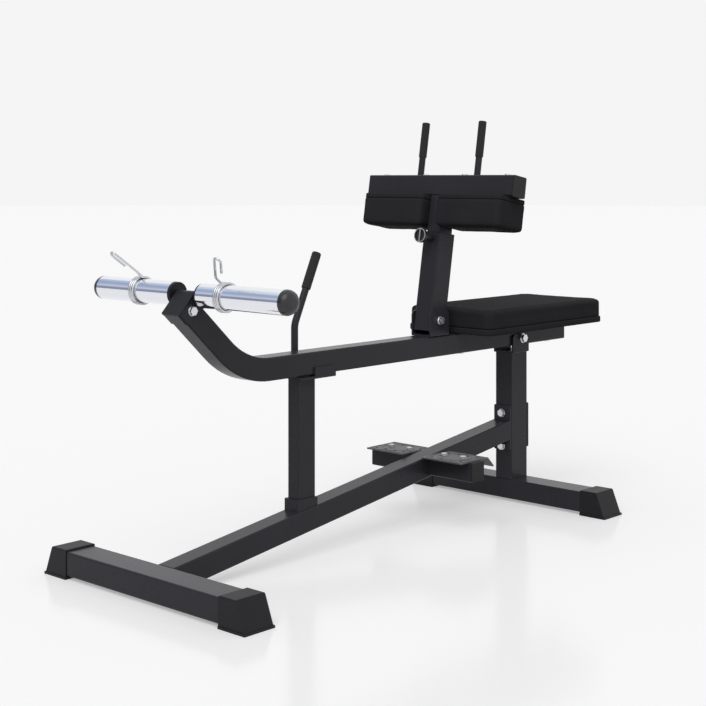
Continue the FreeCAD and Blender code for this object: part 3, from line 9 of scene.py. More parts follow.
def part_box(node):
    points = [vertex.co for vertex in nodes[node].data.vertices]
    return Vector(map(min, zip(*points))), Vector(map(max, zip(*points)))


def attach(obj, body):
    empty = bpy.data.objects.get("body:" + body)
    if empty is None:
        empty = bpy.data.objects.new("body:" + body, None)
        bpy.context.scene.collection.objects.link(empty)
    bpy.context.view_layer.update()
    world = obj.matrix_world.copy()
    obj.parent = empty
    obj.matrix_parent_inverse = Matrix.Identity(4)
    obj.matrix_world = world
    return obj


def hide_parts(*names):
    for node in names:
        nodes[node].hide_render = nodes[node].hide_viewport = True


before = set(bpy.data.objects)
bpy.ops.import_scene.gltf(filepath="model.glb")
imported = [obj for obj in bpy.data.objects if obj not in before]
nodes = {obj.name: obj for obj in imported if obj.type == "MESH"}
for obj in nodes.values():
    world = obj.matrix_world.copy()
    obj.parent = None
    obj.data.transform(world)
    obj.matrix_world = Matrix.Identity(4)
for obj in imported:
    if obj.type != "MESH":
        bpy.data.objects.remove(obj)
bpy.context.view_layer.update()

bl_info = {
    "name": "Seated calf raise machine",
    "version": (1, 0, 0),
    "blender": (4, 5, 0),
    "location": "3D View > Sidebar > Calf raise",
    "description": "Finishes, upholstery and studio for a seated calf raise machine",
    "category": "Object",
}

# The knee unit leans back about the hinge of its post, and its pin sits up the post
KNEE_HINGE = Vector((0.1695, 0, 0.484))
KNEE_LEAN = math.radians(9.6)
PIN_RISE = 0.195
# How far the knob's raised rim stands ahead of the post; faces ahead of it get a painted highlight
KNOB_FACE = 0.0731

# The knee pads in the post's own frame: how far they reach ahead, behind and to either side,
# the underside of the padding, where it meets its board, and the board's upper face
PAD_FRONT = -0.055
PAD_REAR = 0.0535
PAD_INNER = 0.021
PAD_OUTER = 0.212
PAD_UNDER = 0.2205
PAD_SEAM = 0.287
PAD_BOARD_TOP = 0.299

# What is too small to measure: two places closer than this are the same
NEAR = 1e-6

# Padding: the radius of the edge at its back, and the stuffing's steps and pressure
BACK_EDGE = 0.0012
HELD_DEPTH = 0.003
CLOTH_FRAMES = 20
CLOTH_PRESSURE = 4
CLOTH_STIFFNESS = 12

STEEL_NODES = [
    "front_base_tube", "rear_base_tube", "diagonal_beam", "beam_end_plate", "upright_back_plate",
    "rear_upright", "pivot_bracket", "left_foot_bar", "right_foot_bar", "catch_bracket", "catch_pin",
    "lever_beam", "sleeve_axle", "pivot_sleeve", "knee_bracket", "knee_outer_post", "knee_inner_post",
    "knee_crossbeam", "knee_handles", "catch_post", "catch_saddle", "catch_rod", "pull_pin_barrel",
]
MOULDED_NODES = [
    "front_left_foot_cap", "front_right_foot_cap", "rear_left_foot_cap", "rear_right_foot_cap",
    "foot_bar_caps", "lever_nose_cap", "lever_rear_cap", "crossbeam_caps", "post_bushing",
]
CHROME_NODES = ["left_weight_sleeve", "right_weight_sleeve"]
WIRE_NODES = ["left_spring_clip", "right_spring_clip"]
ZINC_NODES = ["pull_pin", "pull_pin_spring"]

# The floor as the camera sees it, and as it lights the machine from below
FLOOR_MATT = (0.80, 0.80, 0.81, 1)
FLOOR_DIM = (0.30, 0.30, 0.31, 1)
FLOOR_ROUGHNESS = 0.16

# The walls that bright metal reflects: plain, and blue in bands from its foot (0) to overhead (1)
WHITE_WALL = (0.97, 0.97, 0.98, 1)
BLUE_WALL = [
    (0.0, (0.26, 0.28, 0.38, 1)), (0.18, (0.28, 0.31, 0.44, 1)), (0.30, (0.66, 0.69, 0.78, 1)),
    (0.40, (0.46, 0.52, 0.68, 1)), (0.56, (0.33, 0.42, 0.62, 1)), (0.70, (0.80, 0.84, 0.90, 1)),
]


# Shader maths

class Value:
    """A shader socket that takes part in sums like a number."""

    def __init__(self, finish, socket):
        self.finish = finish
        self.socket = socket

    def work(self, operation, other, swap=False):
        first, second = (other, self) if swap else (self, other)
        return self.finish.node("ShaderNodeMath", {"operation": operation}, {0: first, 1: second})

    def __add__(self, other):
        return self.work("ADD", other)

    def __radd__(self, other):
        return self.work("ADD", other, swap=True)

    def __sub__(self, other):
        return self.work("SUBTRACT", other)

    def __rsub__(self, other):
        return self.work("SUBTRACT", other, swap=True)

    def __mul__(self, other):
        return self.work("MULTIPLY", other)

    def __rmul__(self, other):
        return self.work("MULTIPLY", other, swap=True)

    def above(self, limit):
        return self.work("GREATER_THAN", limit)


class Finish:
    """A node tree of a material or a world, with one method that adds any node."""

    def __init__(self, owner):
        self.owner = owner
        owner.use_nodes = True
        self.tree = owner.node_tree
        self.tree.nodes.clear()

    def node(self, kind, settings=None, sockets=None, out=0):
        """Add a node: its settings come first, then the values or links of its sockets."""
        made = self.tree.nodes.new(kind)
        for name, setting in (settings or {}).items():
            if name == "stops":
                self.set_stops(made.color_ramp, setting)
            else:
                setattr(made, name, setting)
        for name, value in (sockets or {}).items():
            if isinstance(value, Value):
                self.tree.links.new(value.socket, made.inputs[name])
            else:
                made.inputs[name].default_value = value
        return Value(self, made.outputs[out]) if len(made.outputs) else made

    def set_stops(self, ramp, stops):
        while len(ramp.elements) < len(stops):
            ramp.elements.new(1)
        for element, (place, colour) in zip(ramp.elements, stops):
            element.position = place
            element.color = colour

    def place(self):
        return self.node("ShaderNodeTexCoord", out="Object")

    def noise(self, place, scale, detail=2.0, roughness=0.5):
        return self.node("ShaderNodeTexNoise", None,
                         {"Vector": place, "Scale": scale, "Detail": detail, "Roughness": roughness})

    def stretch(self, place, scale):
        return self.node("ShaderNodeMapping", None, {"Vector": place, "Scale": scale})

    def mix(self, share, first, second):
        """A colour between two, where share is a socket."""
        return self.node("ShaderNodeMix", {"data_type": "RGBA"},
                         {"Factor": share, "A": first, "B": second}, out="Result")

    def between(self, value, low, high):
        """A soft step from 0 to 1 as the value goes from low to high."""
        return self.node("ShaderNodeMapRange", {"interpolation_type": "SMOOTHSTEP"},
                         {"Value": value, "From Min": low, "From Max": high})

    def bump(self, height, distance, strength=1.0, under=None):
        sockets = {"Height": height, "Distance": distance, "Strength": strength}
        if under is not None:
            sockets["Normal"] = under
        return self.node("ShaderNodeBump", None, sockets)

    def surface(self, sockets):
        """A Principled surface; what is the same all over is set on its own socket."""
        shader = self.node("ShaderNodeBsdfPrincipled", None, sockets)
        self.node("ShaderNodeOutputMaterial", None, {"Surface": shader})
        return self.owner


def opaque(colour):
    return (*tuple(colour)[:3], 1.0)


def scaled(colour, share):
    return (*[channel * share for channel in tuple(colour)[:3]], 1.0)


def new_finish(name):
    return Finish(bpy.data.materials.new(name))


def powder_coat(colour):
    """Satin powder coat: a fine orange peel, faint cloudiness and handling marks."""
    finish = new_finish("powder_coat")
    place = finish.place()
    peel = finish.noise(place, 1500.0, 2.0)
    cloud = finish.noise(place, 7.0, 3.0, 0.6)
    marks = finish.noise(finish.stretch(place, (30.0, 90.0, 55.0)), 1.0, 5.0, 0.65)
    rub = marks.above(0.66) * 0.05
    shade = finish.mix(cloud, scaled(colour, 0.86), scaled(colour, 1.16))
    return finish.surface({
        "Base Color": shade,
        "Roughness": 0.23 + cloud * 0.09 + rub,
        "Specular IOR Level": 0.14,
        "Normal": finish.bump(peel, 0.00006, 0.55),
    })


def moulded_plastic(colour):
    """Injection-moulded plastic with a fine spark-eroded texture."""
    finish = new_finish("moulded_plastic")
    place = finish.place()
    grain = finish.noise(place, 2600.0, 1.0)
    flow = finish.noise(place, 16.0, 2.0)
    return finish.surface({
        "Base Color": finish.mix(flow, scaled(colour, 0.85), scaled(colour, 1.2)),
        "Roughness": 0.40 + grain * 0.10 + flow * 0.05,
        "Specular IOR Level": 0.20,
        "Normal": finish.bump(grain, 0.00008, 0.6),
    })


def polished_plastic(colour):
    """The sleeves' domed caps: glossy moulded plastic with a faint ripple."""
    finish = new_finish("polished_plastic")
    place = finish.place()
    ripple = finish.noise(place, 70.0, 2.0)
    scratch = finish.noise(finish.stretch(place, (500.0, 60.0, 500.0)), 1.0, 4.0, 0.6)
    return finish.surface({
        "Base Color": finish.mix(ripple, scaled(colour, 1.4), scaled(colour, 1.9)),
        "Roughness": 0.18 + scratch * 0.10,
        "Specular IOR Level": 0.5,
        "Normal": finish.bump(ripple, 0.0001, 0.4),
    })


def chrome_plate(colour):
    """Bright chrome with hair-fine polishing marks round the tube."""
    finish = new_finish("chrome_plate")
    place = finish.place()
    polish = finish.noise(finish.stretch(place, (25.0, 900.0, 25.0)), 1.0, 3.0)
    smear = finish.noise(place, 22.0, 3.0, 0.6)
    return finish.surface({
        "Base Color": finish.mix(smear, scaled(colour, 0.96), opaque(colour)),
        "Metallic": 1.0,
        "Roughness": 0.045 + smear * 0.06 + polish * 0.02,
        "Normal": finish.bump(polish, 0.00001, 0.25),
    })


def bright_wire(colour):
    """The clips' drawn wire: chrome over fine marks that run round it."""
    finish = new_finish("bright_wire")
    place = finish.place()
    drawn = finish.noise(finish.stretch(place, (700.0, 700.0, 700.0)), 1.0, 3.0)
    smear = finish.noise(place, 60.0, 3.0, 0.6)
    return finish.surface({
        "Base Color": finish.mix(smear, scaled(colour, 0.58), scaled(colour, 0.74)),
        "Metallic": 1.0,
        "Roughness": 0.12 + smear * 0.10 + drawn * 0.03,
        "Normal": finish.bump(drawn, 0.00001, 0.3),
    })


def zinc_plate(colour):
    """Zinc-plated steel: bright, a little cloudy and faintly uneven in colour."""
    finish = new_finish("zinc_plate")
    place = finish.place()
    cloud = finish.noise(place, 240.0, 3.0, 0.6)
    fine = finish.noise(place, 3200.0, 1.0)
    return finish.surface({
        "Base Color": finish.mix(cloud, scaled(colour, 0.82), opaque(colour)),
        "Metallic": 1.0,
        "Roughness": 0.20 + cloud * 0.16,
        "Normal": finish.bump(fine, 0.00002, 0.4),
    })


def vinyl(colour):
    """Black upholstery vinyl: a pebbled grain over slow, soft unevenness in its gloss."""
    finish = new_finish("vinyl_cover")
    place = finish.place()
    pebble = finish.node("ShaderNodeTexVoronoi", {"feature": "SMOOTH_F1"},
                         {"Vector": place, "Scale": 820.0, "Smoothness": 0.5})
    crease = finish.noise(place, 330.0, 3.0, 0.6)
    slow = finish.noise(place, 11.0, 3.0, 0.55)
    height = pebble * 0.7 + crease * 0.5
    return finish.surface({
        "Base Color": finish.mix(slow, scaled(colour, 0.85), scaled(colour, 1.18)),
        "Roughness": 0.50 + slow * 0.10 + pebble * 0.07,
        "Specular IOR Level": 0.002,
        "Normal": finish.bump(height, 0.00016, 0.5),
    })


def grip_rubber(colour):
    """Matt foam rubber with fine pores."""
    finish = new_finish("grip_rubber")
    place = finish.place()
    pores = finish.node("ShaderNodeTexVoronoi", {"feature": "F1"}, {"Vector": place, "Scale": 1100.0})
    worn = finish.noise(place, 35.0, 3.0)
    return finish.surface({
        "Base Color": finish.mix(worn, scaled(colour, 0.8), scaled(colour, 1.25)),
        "Roughness": 0.62 + worn * 0.12,
        "Specular IOR Level": 0.20,
        "Normal": finish.bump(pores, 0.00018, 0.55),
    })


def tread_paint(colour):
    """The tread plates' textured paint, greyer where soles have rubbed it."""
    finish = new_finish("tread_paint")
    place = finish.place()
    grit = finish.noise(place, 900.0, 3.0, 0.6)
    rub = finish.noise(place, 34.0, 4.0, 0.6)
    scuff = finish.noise(finish.stretch(place, (40.0, 160.0, 40.0)), 1.0, 4.0, 0.6)
    return finish.surface({
        "Base Color": finish.mix(rub, scaled(colour, 0.8), scaled(colour, 1.3)),
        "Roughness": 0.36 + scuff * 0.18,
        "Specular IOR Level": 0.5,
        "Normal": finish.bump(grit, 0.00016, 0.6),
    })


def knob_plastic(colour, mark):
    """The knob: black plastic, with a painted highlight in light grey on the front faces of its raised
    rim and bar.
    """
    finish = new_finish("knob_plastic")
    place = finish.place()
    along = Vector((math.cos(KNEE_LEAN), 0, -math.sin(KNEE_LEAN)))
    centre = knee_point((0, 0, PIN_RISE))
    ahead = finish.node("ShaderNodeVectorMath", {"operation": "DOT_PRODUCT"},
                        {0: place, 1: tuple(-along)}, out="Value") + along.dot(centre)
    # Painted highlight: the front faces of the rim and bar take the light grey colour
    face = ahead.above(KNOB_FACE)
    scuffs = finish.noise(place, 900.0, 3.0)
    return finish.surface({
        "Base Color": finish.mix(face, opaque(colour), opaque(mark)),
        "Roughness": 0.34 + scuffs * 0.12,
        "Normal": finish.bump(scuffs, 0.00005, 0.5),
    })


# Modelling helpers

def knee_frame():
    return Matrix.Translation(KNEE_HINGE) @ Matrix.Rotation(KNEE_LEAN, 4, "Y")


def knee_point(local):
    return knee_frame() @ Vector(local)


def deselect():
    if bpy.context.mode != "OBJECT":
        bpy.ops.object.mode_set(mode="OBJECT")
    bpy.ops.object.select_all(action="DESELECT")


def take(piece):
    """Make one piece the only one selected, and the active one."""
    deselect()
    piece.select_set(True)
    bpy.context.view_layer.objects.active = piece


def added(name):
    piece = bpy.context.active_object
    piece.name = name
    return piece


def settle(piece):
    """Put a piece's place, turn and size into its mesh."""
    take(piece)
    bpy.ops.object.transform_apply(location=True, rotation=True, scale=True)


def apply_all(piece):
    take(piece)
    for modifier in list(piece.modifiers):
        bpy.ops.object.modifier_apply(modifier=modifier.name)


def pick(piece, kind, wanted):
    """In edit mode, select the vertices, edges or faces that the test picks out."""
    take(piece)
    bpy.ops.object.mode_set(mode="EDIT")
    bpy.ops.mesh.select_mode(type=kind)
    bpy.ops.mesh.select_all(action="DESELECT")
    mesh = bmesh.from_edit_mesh(piece.data)
    group = {"VERT": mesh.verts, "EDGE": mesh.edges, "FACE": mesh.faces}[kind]
    chosen = [element for element in group if wanted(element)]
    if not chosen:
        raise RuntimeError(f"{piece.name}: nothing to select")
    for element in chosen:
        element.select_set(True)
    bmesh.update_edit_mesh(piece.data)


def done():
    bpy.ops.object.mode_set(mode="OBJECT")


def join(pieces, name):
    take(pieces[0])
    for piece in pieces:
        piece.select_set(True)
    bpy.ops.object.join()
    return added(name)


def clean(piece):
    take(piece)
    bpy.ops.object.mode_set(mode="EDIT")
    bpy.ops.mesh.select_all(action="SELECT")
    bpy.ops.mesh.remove_doubles(threshold=0.00001)
    bpy.ops.mesh.normals_make_consistent(inside=False)
    done()


def smooth(piece, angle=35):
    take(piece)
    bpy.ops.object.shade_smooth_by_angle(angle=math.radians(angle))


def paint(piece, material):
    piece.data.materials.clear()
    piece.data.materials.append(material)


def paint_node(name, material):
    slots = nodes[name].material_slots
    if not slots:
        raise RuntimeError(f"{name}: no material slot")
    for slot in slots:
        slot.material = material


def finish_of(name):
    found = bpy.data.materials.get(name)
    if found is None:
        raise RuntimeError(f"finish {name} has not been made")
    return found


# Upholstery

def bevel(piece, wanted, offset, segments):
    """Round the edges that the test picks out."""
    pick(piece, "EDGE", wanted)
    bpy.ops.mesh.bevel(offset=offset, segments=segments, affect="EDGES")
    done()


def upright(line):
    return abs(line.verts[0].co.z - line.verts[1].co.z) > 0.001


def level_rim(line):
    """An edge that lies level where a side meets the top or the bottom."""
    return not upright(line) and any(abs(side.normal.z) < 0.5 for side in line.link_faces)


def rim_at(height):
    return lambda line: level_rim(line) and all(abs(end.co.z - height) < NEAR for end in line.verts)


def rounded_box(name, low, high, corner, segments):
    """A box between two corners, with its upright edges rounded."""
    deselect()
    low, high = Vector(low), Vector(high)
    bpy.ops.mesh.primitive_cube_add(size=1, location=(low + high) / 2)
    piece = added(name)
    piece.scale = high - low
    settle(piece)
    bevel(piece, upright, corner, segments)
    return piece


def block(name, low, high, corner, edge, soft_top):
    """A rounded box with one face rounded over for the padding."""
    piece = rounded_box(name, low, high, corner, 6)
    face, back = (high.z, low.z) if soft_top else (low.z, high.z)
    bevel(piece, rim_at(face), edge, 5)
    bevel(piece, rim_at(back), BACK_EDGE, 2)
    return piece


def wrapped_board(name, low, high, corner, wrap):
    """A plywood board with the cover drawn round its edges."""
    piece = rounded_box(name, low, high, corner, 8)
    bevel(piece, level_rim, wrap, 3)
    smooth(piece, 40)
    return piece


def remesh(piece, voxel):
    take(piece)
    piece.data.remesh_voxel_size = voxel
    piece.data.remesh_voxel_adaptivity = 0
    bpy.ops.object.voxel_remesh()


def stuff(piece, back, way, face_cap, side_cap):
    """Swell a padded block under pressure with its back held flat, within stated limits."""
    start = [vertex.co.copy() for vertex in piece.data.vertices]
    held = [vertex.index for vertex in piece.data.vertices
            if way * (vertex.co.z - back) < HELD_DEPTH]
    group = piece.vertex_groups.new(name="held")
    group.add(held, 1.0, "REPLACE")
    cloth = piece.modifiers.new("stuffing", "CLOTH")
    cloth.settings.quality = 4
    cloth.settings.mass = 0.3
    cloth.settings.tension_stiffness = CLOTH_STIFFNESS
    cloth.settings.compression_stiffness = CLOTH_STIFFNESS
    cloth.settings.bending_stiffness = 2
    cloth.settings.use_pressure = True
    cloth.settings.uniform_pressure_force = CLOTH_PRESSURE
    cloth.settings.effector_weights.gravity = 0
    cloth.settings.vertex_group_mass = group.name
    cloth.point_cache.frame_start = 1
    cloth.point_cache.frame_end = CLOTH_FRAMES
    for step in range(1, CLOTH_FRAMES + 1):
        bpy.context.scene.frame_set(step)
    take(piece)
    bpy.ops.object.modifier_apply(modifier=cloth.name)
    bpy.context.scene.frame_set(1)
    for vertex, first in zip(piece.data.vertices, start):
        move = vertex.co - first
        flat = Vector((move.x, move.y, 0))
        if flat.length > side_cap:
            flat *= side_cap / flat.length
        rise = max(-side_cap, min(face_cap, way * move.z))
        vertex.co = first + flat + Vector((0, 0, way * rise))
    piece.vertex_groups.clear()


def crown(piece, low, high, way, rise, dip):
    """The form that the stuffing gives, moved by hand: a crowned face and sides drawn in."""
    middle = (Vector(low) + Vector(high)) / 2
    half = (Vector(high) - Vector(low)) / 2
    back = low[2] if way > 0 else high[2]
    depth = half.z * 2
    for vertex in piece.data.vertices:
        across = (vertex.co.x - middle.x) / half.x
        along = (vertex.co.y - middle.y) / half.y
        up = max(0.0, way * (vertex.co.z - back) / depth)
        bulge = max(0.0, 1 - across ** 4) * max(0.0, 1 - along ** 4)
        vertex.co.z += way * rise * bulge * max(0.0, up - 0.7) / 0.3
        waist = dip * math.sin(math.pi * min(1.0, up))
        if abs(across) > 0.9:
            vertex.co.x -= math.copysign(waist * max(0.0, 1 - along * along), across)
        if abs(along) > 0.9:
            vertex.co.y -= math.copysign(waist * max(0.0, 1 - across * across), along)


def cushion(name, low, high, corner, edge, soft_top, sizes):
    """One padded piece in its own frame: block, voxel mesh, stuffing, waist and subdivision."""
    way = 1 if soft_top else -1
    inner_low, inner_high = Vector(low), Vector(high)
    if soft_top:
        inner_high.z -= sizes.swell
    else:
        inner_low.z += sizes.swell
    for axis in (0, 1):
        inner_low[axis] += sizes.side_swell
        inner_high[axis] -= sizes.side_swell
    piece = block(name, inner_low, inner_high, corner, edge, soft_top)
    remesh(piece, sizes.voxel)
    back = low[2] if soft_top else high[2]
    stuff(piece, back, way, sizes.swell, sizes.side_swell)
    crown(piece, inner_low, inner_high, way, 0, sizes.waist)
    soften = piece.modifiers.new("soften", "SMOOTH")
    soften.factor = 0.4
    soften.iterations = 2
    divide = piece.modifiers.new("divide", "SUBSURF")
    divide.levels = 1
    divide.render_levels = 1
    apply_all(piece)
    smooth(piece, 60)
    return piece


# Settings

class FinishColours(bpy.types.PropertyGroup):
    """Colours of the finishes, as linear values."""
    powder: FloatVectorProperty(name="Powder coat", description="Colour of the painted steel",
                                subtype="COLOR", default=(0.0400, 0.0385, 0.0460), min=0, max=1)
    plastic: FloatVectorProperty(name="Plastic", description="Colour of the moulded caps",
                                 subtype="COLOR", default=(0.0160, 0.0158, 0.0180), min=0, max=1)
    chrome: FloatVectorProperty(name="Chrome", description="Colour of the plated sleeves and clips",
                                subtype="COLOR", default=(0.86, 0.87, 0.90), min=0, max=1)
    zinc: FloatVectorProperty(name="Zinc", description="Colour of the bolts, nuts and washers",
                              subtype="COLOR", default=(0.74, 0.75, 0.77), min=0, max=1)
    vinyl: FloatVectorProperty(name="Vinyl", description="Colour of the seat and knee pad covers",
                               subtype="COLOR", default=(0.0385, 0.0380, 0.0410), min=0, max=1)
    rubber: FloatVectorProperty(name="Rubber", description="Colour of the hand grips",
                                subtype="COLOR", default=(0.0088, 0.0086, 0.0090), min=0, max=1)
    tread: FloatVectorProperty(name="Tread", description="Colour of the foot plates",
                               subtype="COLOR", default=(0.040, 0.039, 0.043), min=0, max=1)
    # Painted highlight: the light grey given to the front of the knob's rim and bar
    mark: FloatVectorProperty(name="Knob rim", description="Colour of the knob's rubbed rim and bar",
                              subtype="COLOR", default=(0.42, 0.42, 0.42), min=0, max=1)


class UpholsterySizes(bpy.types.PropertyGroup):
    """Sizes of the padded pieces."""
    swell: FloatProperty(name="Face swell", description="How far a padded face swells",
                         subtype="DISTANCE", unit="LENGTH", default=0.0024, min=0)
    side_swell: FloatProperty(name="Side swell", description="How far a padded side swells",
                              subtype="DISTANCE", unit="LENGTH", default=0.0004, min=0)
    waist: FloatProperty(name="Side waist", description="How far a side is drawn in at its middle",
                         subtype="DISTANCE", unit="LENGTH", default=0.0008, min=0)
    voxel: FloatProperty(name="Mesh step", description="Size of the cells that a pad is made of",
                         subtype="DISTANCE", unit="LENGTH", default=0.004, min=0.001)
    seat_corner: FloatProperty(name="Seat corner", description="Radius of the seat's upright corners",
                               subtype="DISTANCE", unit="LENGTH", default=0.024, min=0.001)
    pad_corner: FloatProperty(name="Pad corner", description="Radius of a knee pad's upright corners",
                              subtype="DISTANCE", unit="LENGTH", default=0.013, min=0.001)
    wrap: FloatProperty(name="Wrap", description="How round the cover wraps the edge of a board",
                        subtype="DISTANCE", unit="LENGTH", default=0.0025, min=0.0005)
    edge: FloatProperty(name="Edge", description="Radius of a pad's padded edge",
                        subtype="DISTANCE", unit="LENGTH", default=0.008, min=0.001)
    setback: FloatProperty(name="Front setback", description="How far the seat's front is drawn back",
                           subtype="DISTANCE", unit="LENGTH", default=0.002, min=0)
    overhang: FloatProperty(name="Overhang", description="How far the seat's cover reaches back",
                            subtype="DISTANCE", unit="LENGTH", default=0.005, min=0)
    lip: FloatProperty(name="Lip", description="How far padding stands out past its board",
                       subtype="DISTANCE", unit="LENGTH", default=0.001, min=0)


class TreadSizes(bpy.types.PropertyGroup):
    """Sizes of the raised pattern on the foot plates."""
    inset: FloatProperty(name="Border inset", description="Distance of the raised border from the edge",
                         subtype="DISTANCE", unit="LENGTH", default=0.006, min=0)
    bead: FloatProperty(name="Bead", description="Half width of the raised lines",
                        subtype="DISTANCE", unit="LENGTH", default=0.0013, min=0.0002)
    ring: FloatProperty(name="Ring", description="Radius of the raised ring",
                        subtype="DISTANCE", unit="LENGTH", default=0.040, min=0.001)
    segments: IntProperty(name="Segments", description="Steps round the raised ring",
                          default=64, min=12)
    reach: FloatProperty(name="Flat reach", description="Length of a plate's flat part",
                         subtype="DISTANCE", unit="LENGTH", default=0.104, min=0.01)
    corner: FloatProperty(name="Border corner", description="Radius of the border's corners",
                          subtype="DISTANCE", unit="LENGTH", default=0.006, min=0)
    flat: FloatProperty(name="Flatness", description="Height of the lines as a share of their width",
                        default=0.6, min=0.1, max=1)


class StudioSettings(bpy.types.PropertyGroup):
    """Camera, floor and light."""
    camera: FloatVectorProperty(name="Camera", description="Place of the camera", subtype="TRANSLATION",
                                unit="LENGTH", default=(-2.4589, -2.1639, 0.8239))
    turn: FloatProperty(name="Turn", description="Direction of the camera about the vertical",
                        subtype="ANGLE", unit="ROTATION", default=math.radians(-47.41))
    lens: FloatProperty(name="Lens", description="Focal length in millimetres", default=72.11, min=1)
    shift: FloatProperty(name="Shift", description="Upward shift of the lens", default=-0.2476)
    backdrop: FloatVectorProperty(name="Backdrop", description="Colour of floor and backdrop",
                                  subtype="COLOR", default=(0.913, 0.913, 0.913), min=0, max=1)
    world: FloatProperty(name="Room light", description="Strength of the even light of the room",
                         default=0.45, min=0)
    lamp: FloatProperty(name="Lamp", description="Strength of the soft light from above",
                        default=0.95, min=0)
    lamp_place: FloatVectorProperty(name="Lamp place", description="Where the lamp's light comes from",
                                    subtype="TRANSLATION", unit="LENGTH", default=(-1.9, -1.1, 2.8))
    lamp_width: FloatProperty(name="Lamp width", description="How wide the lamp looks from the machine",
                              subtype="ANGLE", unit="ROTATION", default=math.radians(50))
    floor: FloatProperty(name="Floor", description="Radius of the floor",
                         subtype="DISTANCE", unit="LENGTH", default=40, min=5)
    gloss: FloatProperty(name="Floor gloss", description="Share of mirror in the floor",
                         default=0.10, min=0, max=1)
    glow: FloatProperty(name="Floor glow", description="Share of its own light in the floor's colour",
                        default=0.385, min=0)


# Operators

class MACHINE_OT_finishes(bpy.types.Operator):
    """Make every finish that the pieces share"""
    bl_idname = "machine.finishes"
    bl_label = "Make the finishes"

    def execute(self, context):
        colours = context.scene.machine_colours
        powder_coat(colours.powder)
        moulded_plastic(colours.plastic)
        polished_plastic(colours.plastic)
        chrome_plate(colours.chrome)
        bright_wire(colours.chrome)
        zinc_plate(colours.zinc)
        vinyl(colours.vinyl)
        grip_rubber(colours.rubber)
        tread_paint(colours.tread)
        knob_plastic(colours.plastic, colours.mark)
        return {"FINISHED"}


class MACHINE_OT_steel(bpy.types.Operator):
    """Paint the frame, the lever, the knee post and the catch"""
    bl_idname = "machine.steel"
    bl_label = "Paint the steel"

    def execute(self, context):
        for name in STEEL_NODES:
            paint_node(name, finish_of("powder_coat"))
        for name in ("left_foot_plate", "right_foot_plate"):
            paint_node(name, finish_of("tread_paint"))
        return {"FINISHED"}


class MACHINE_OT_plated(bpy.types.Operator):
    """Plate the weight sleeves, the clips and the pull pin"""
    bl_idname = "machine.plated"
    bl_label = "Plate the bright parts"

    def execute(self, context):
        for name in CHROME_NODES:
            paint_node(name, finish_of("chrome_plate"))
        for name in WIRE_NODES:
            paint_node(name, finish_of("bright_wire"))
        for name in ZINC_NODES:
            paint_node(name, finish_of("zinc_plate"))
        return {"FINISHED"}


class MACHINE_OT_moulded(bpy.types.Operator):
    """Finish the caps, plugs, grips and the knob"""
    bl_idname = "machine.moulded"
    bl_label = "Finish the moulded parts"

    def execute(self, context):
        for name in MOULDED_NODES + ["sleeve_plugs", "catch_pad"]:
            paint_node(name, finish_of("moulded_plastic"))
        paint_node("sleeve_caps", finish_of("polished_plastic"))
        for name in ("knee_grips", "catch_grip"):
            paint_node(name, finish_of("grip_rubber"))
        paint_node("pull_pin_knob", finish_of("knob_plastic"))
        return {"FINISHED"}


class MACHINE_OT_fasteners(bpy.types.Operator):
    """Give the bolts and nuts their plating"""
    bl_idname = "machine.fasteners"
    bl_label = "Finish the fasteners"

    def execute(self, context):
        for name in ("frame_bolts", "frame_nuts", "pivot_bolt", "pivot_nut", "foot_plate_bolts",
                     "lever_bolts", "lever_nuts", "seat_bolts", "pad_bolts"):
            paint_node(name, finish_of("zinc_plate"))
        return {"FINISHED"}


class MACHINE_OT_tread(bpy.types.Operator):
    """Raise the border and the ring on both foot plates"""
    bl_idname = "machine.tread"
    bl_label = "Raise the tread pattern"

    def execute(self, context):
        sizes = context.scene.machine_tread
        for side in ("left", "right"):
            low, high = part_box(f"{side}_foot_plate")
            front, rear = low.x, low.x + sizes.reach
            top = high.z
            middle = Vector(((front + rear) / 2, (low.y + high.y) / 2, top))
            deselect()
            bpy.ops.mesh.primitive_plane_add(size=1, location=middle)
            border = added(f"{side}_tread_border")
            border.scale = (rear - front - 2 * sizes.inset, high.y - low.y - 2 * sizes.inset, 1)
            settle(border)
            pick(border, "VERT", lambda vertex: True)
            bpy.ops.mesh.bevel(offset=sizes.corner, segments=6, affect="VERTICES")
            bpy.ops.mesh.select_all(action="SELECT")
            bpy.ops.mesh.delete(type="ONLY_FACE")
            done()
            take(border)
            bpy.ops.object.convert(target="CURVE")
            border.data.bevel_depth = sizes.bead
            border.data.bevel_resolution = 3
            bpy.ops.object.convert(target="MESH")
            border.scale = (1, 1, sizes.flat)
            border.location = (0, 0, top * (1 - sizes.flat))
            settle(border)
            deselect()
            bpy.ops.mesh.primitive_torus_add(
                major_radius=sizes.ring, minor_radius=sizes.bead, major_segments=sizes.segments,
                minor_segments=10, location=middle)
            ring = added(f"{side}_tread_ring")
            ring.scale = (1, 1, sizes.flat)
            settle(ring)
            relief = join([border, ring], f"{side}_tread_relief")
            clean(relief)
            smooth(relief, 60)
            paint(relief, finish_of("tread_paint"))
            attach(relief, "frame")
        return {"FINISHED"}


class MACHINE_OT_seat(bpy.types.Operator):
    """Upholster the seat"""
    bl_idname = "machine.seat"
    bl_label = "Upholster the seat"

    def execute(self, context):
        sizes = context.scene.machine_upholstery
        low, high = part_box("seat_cushion")
        low = low + Vector((sizes.setback, 0, 0))
        high = high + Vector((sizes.overhang + sizes.lip, 0, 0))
        piece = cushion("seat_padding", low, high, sizes.seat_corner, sizes.edge, True, sizes)
        paint(piece, finish_of("vinyl_cover"))
        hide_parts("seat_cushion")
        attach(piece, "lever")
        low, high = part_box("seat_board")
        low = low + Vector((sizes.setback, 0, 0))
        high = high + Vector((sizes.overhang, 0, 0))
        board = wrapped_board("seat_base", low, high, sizes.seat_corner, sizes.wrap)
        paint(board, finish_of("vinyl_cover"))
        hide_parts("seat_board")
        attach(board, "lever")
        return {"FINISHED"}


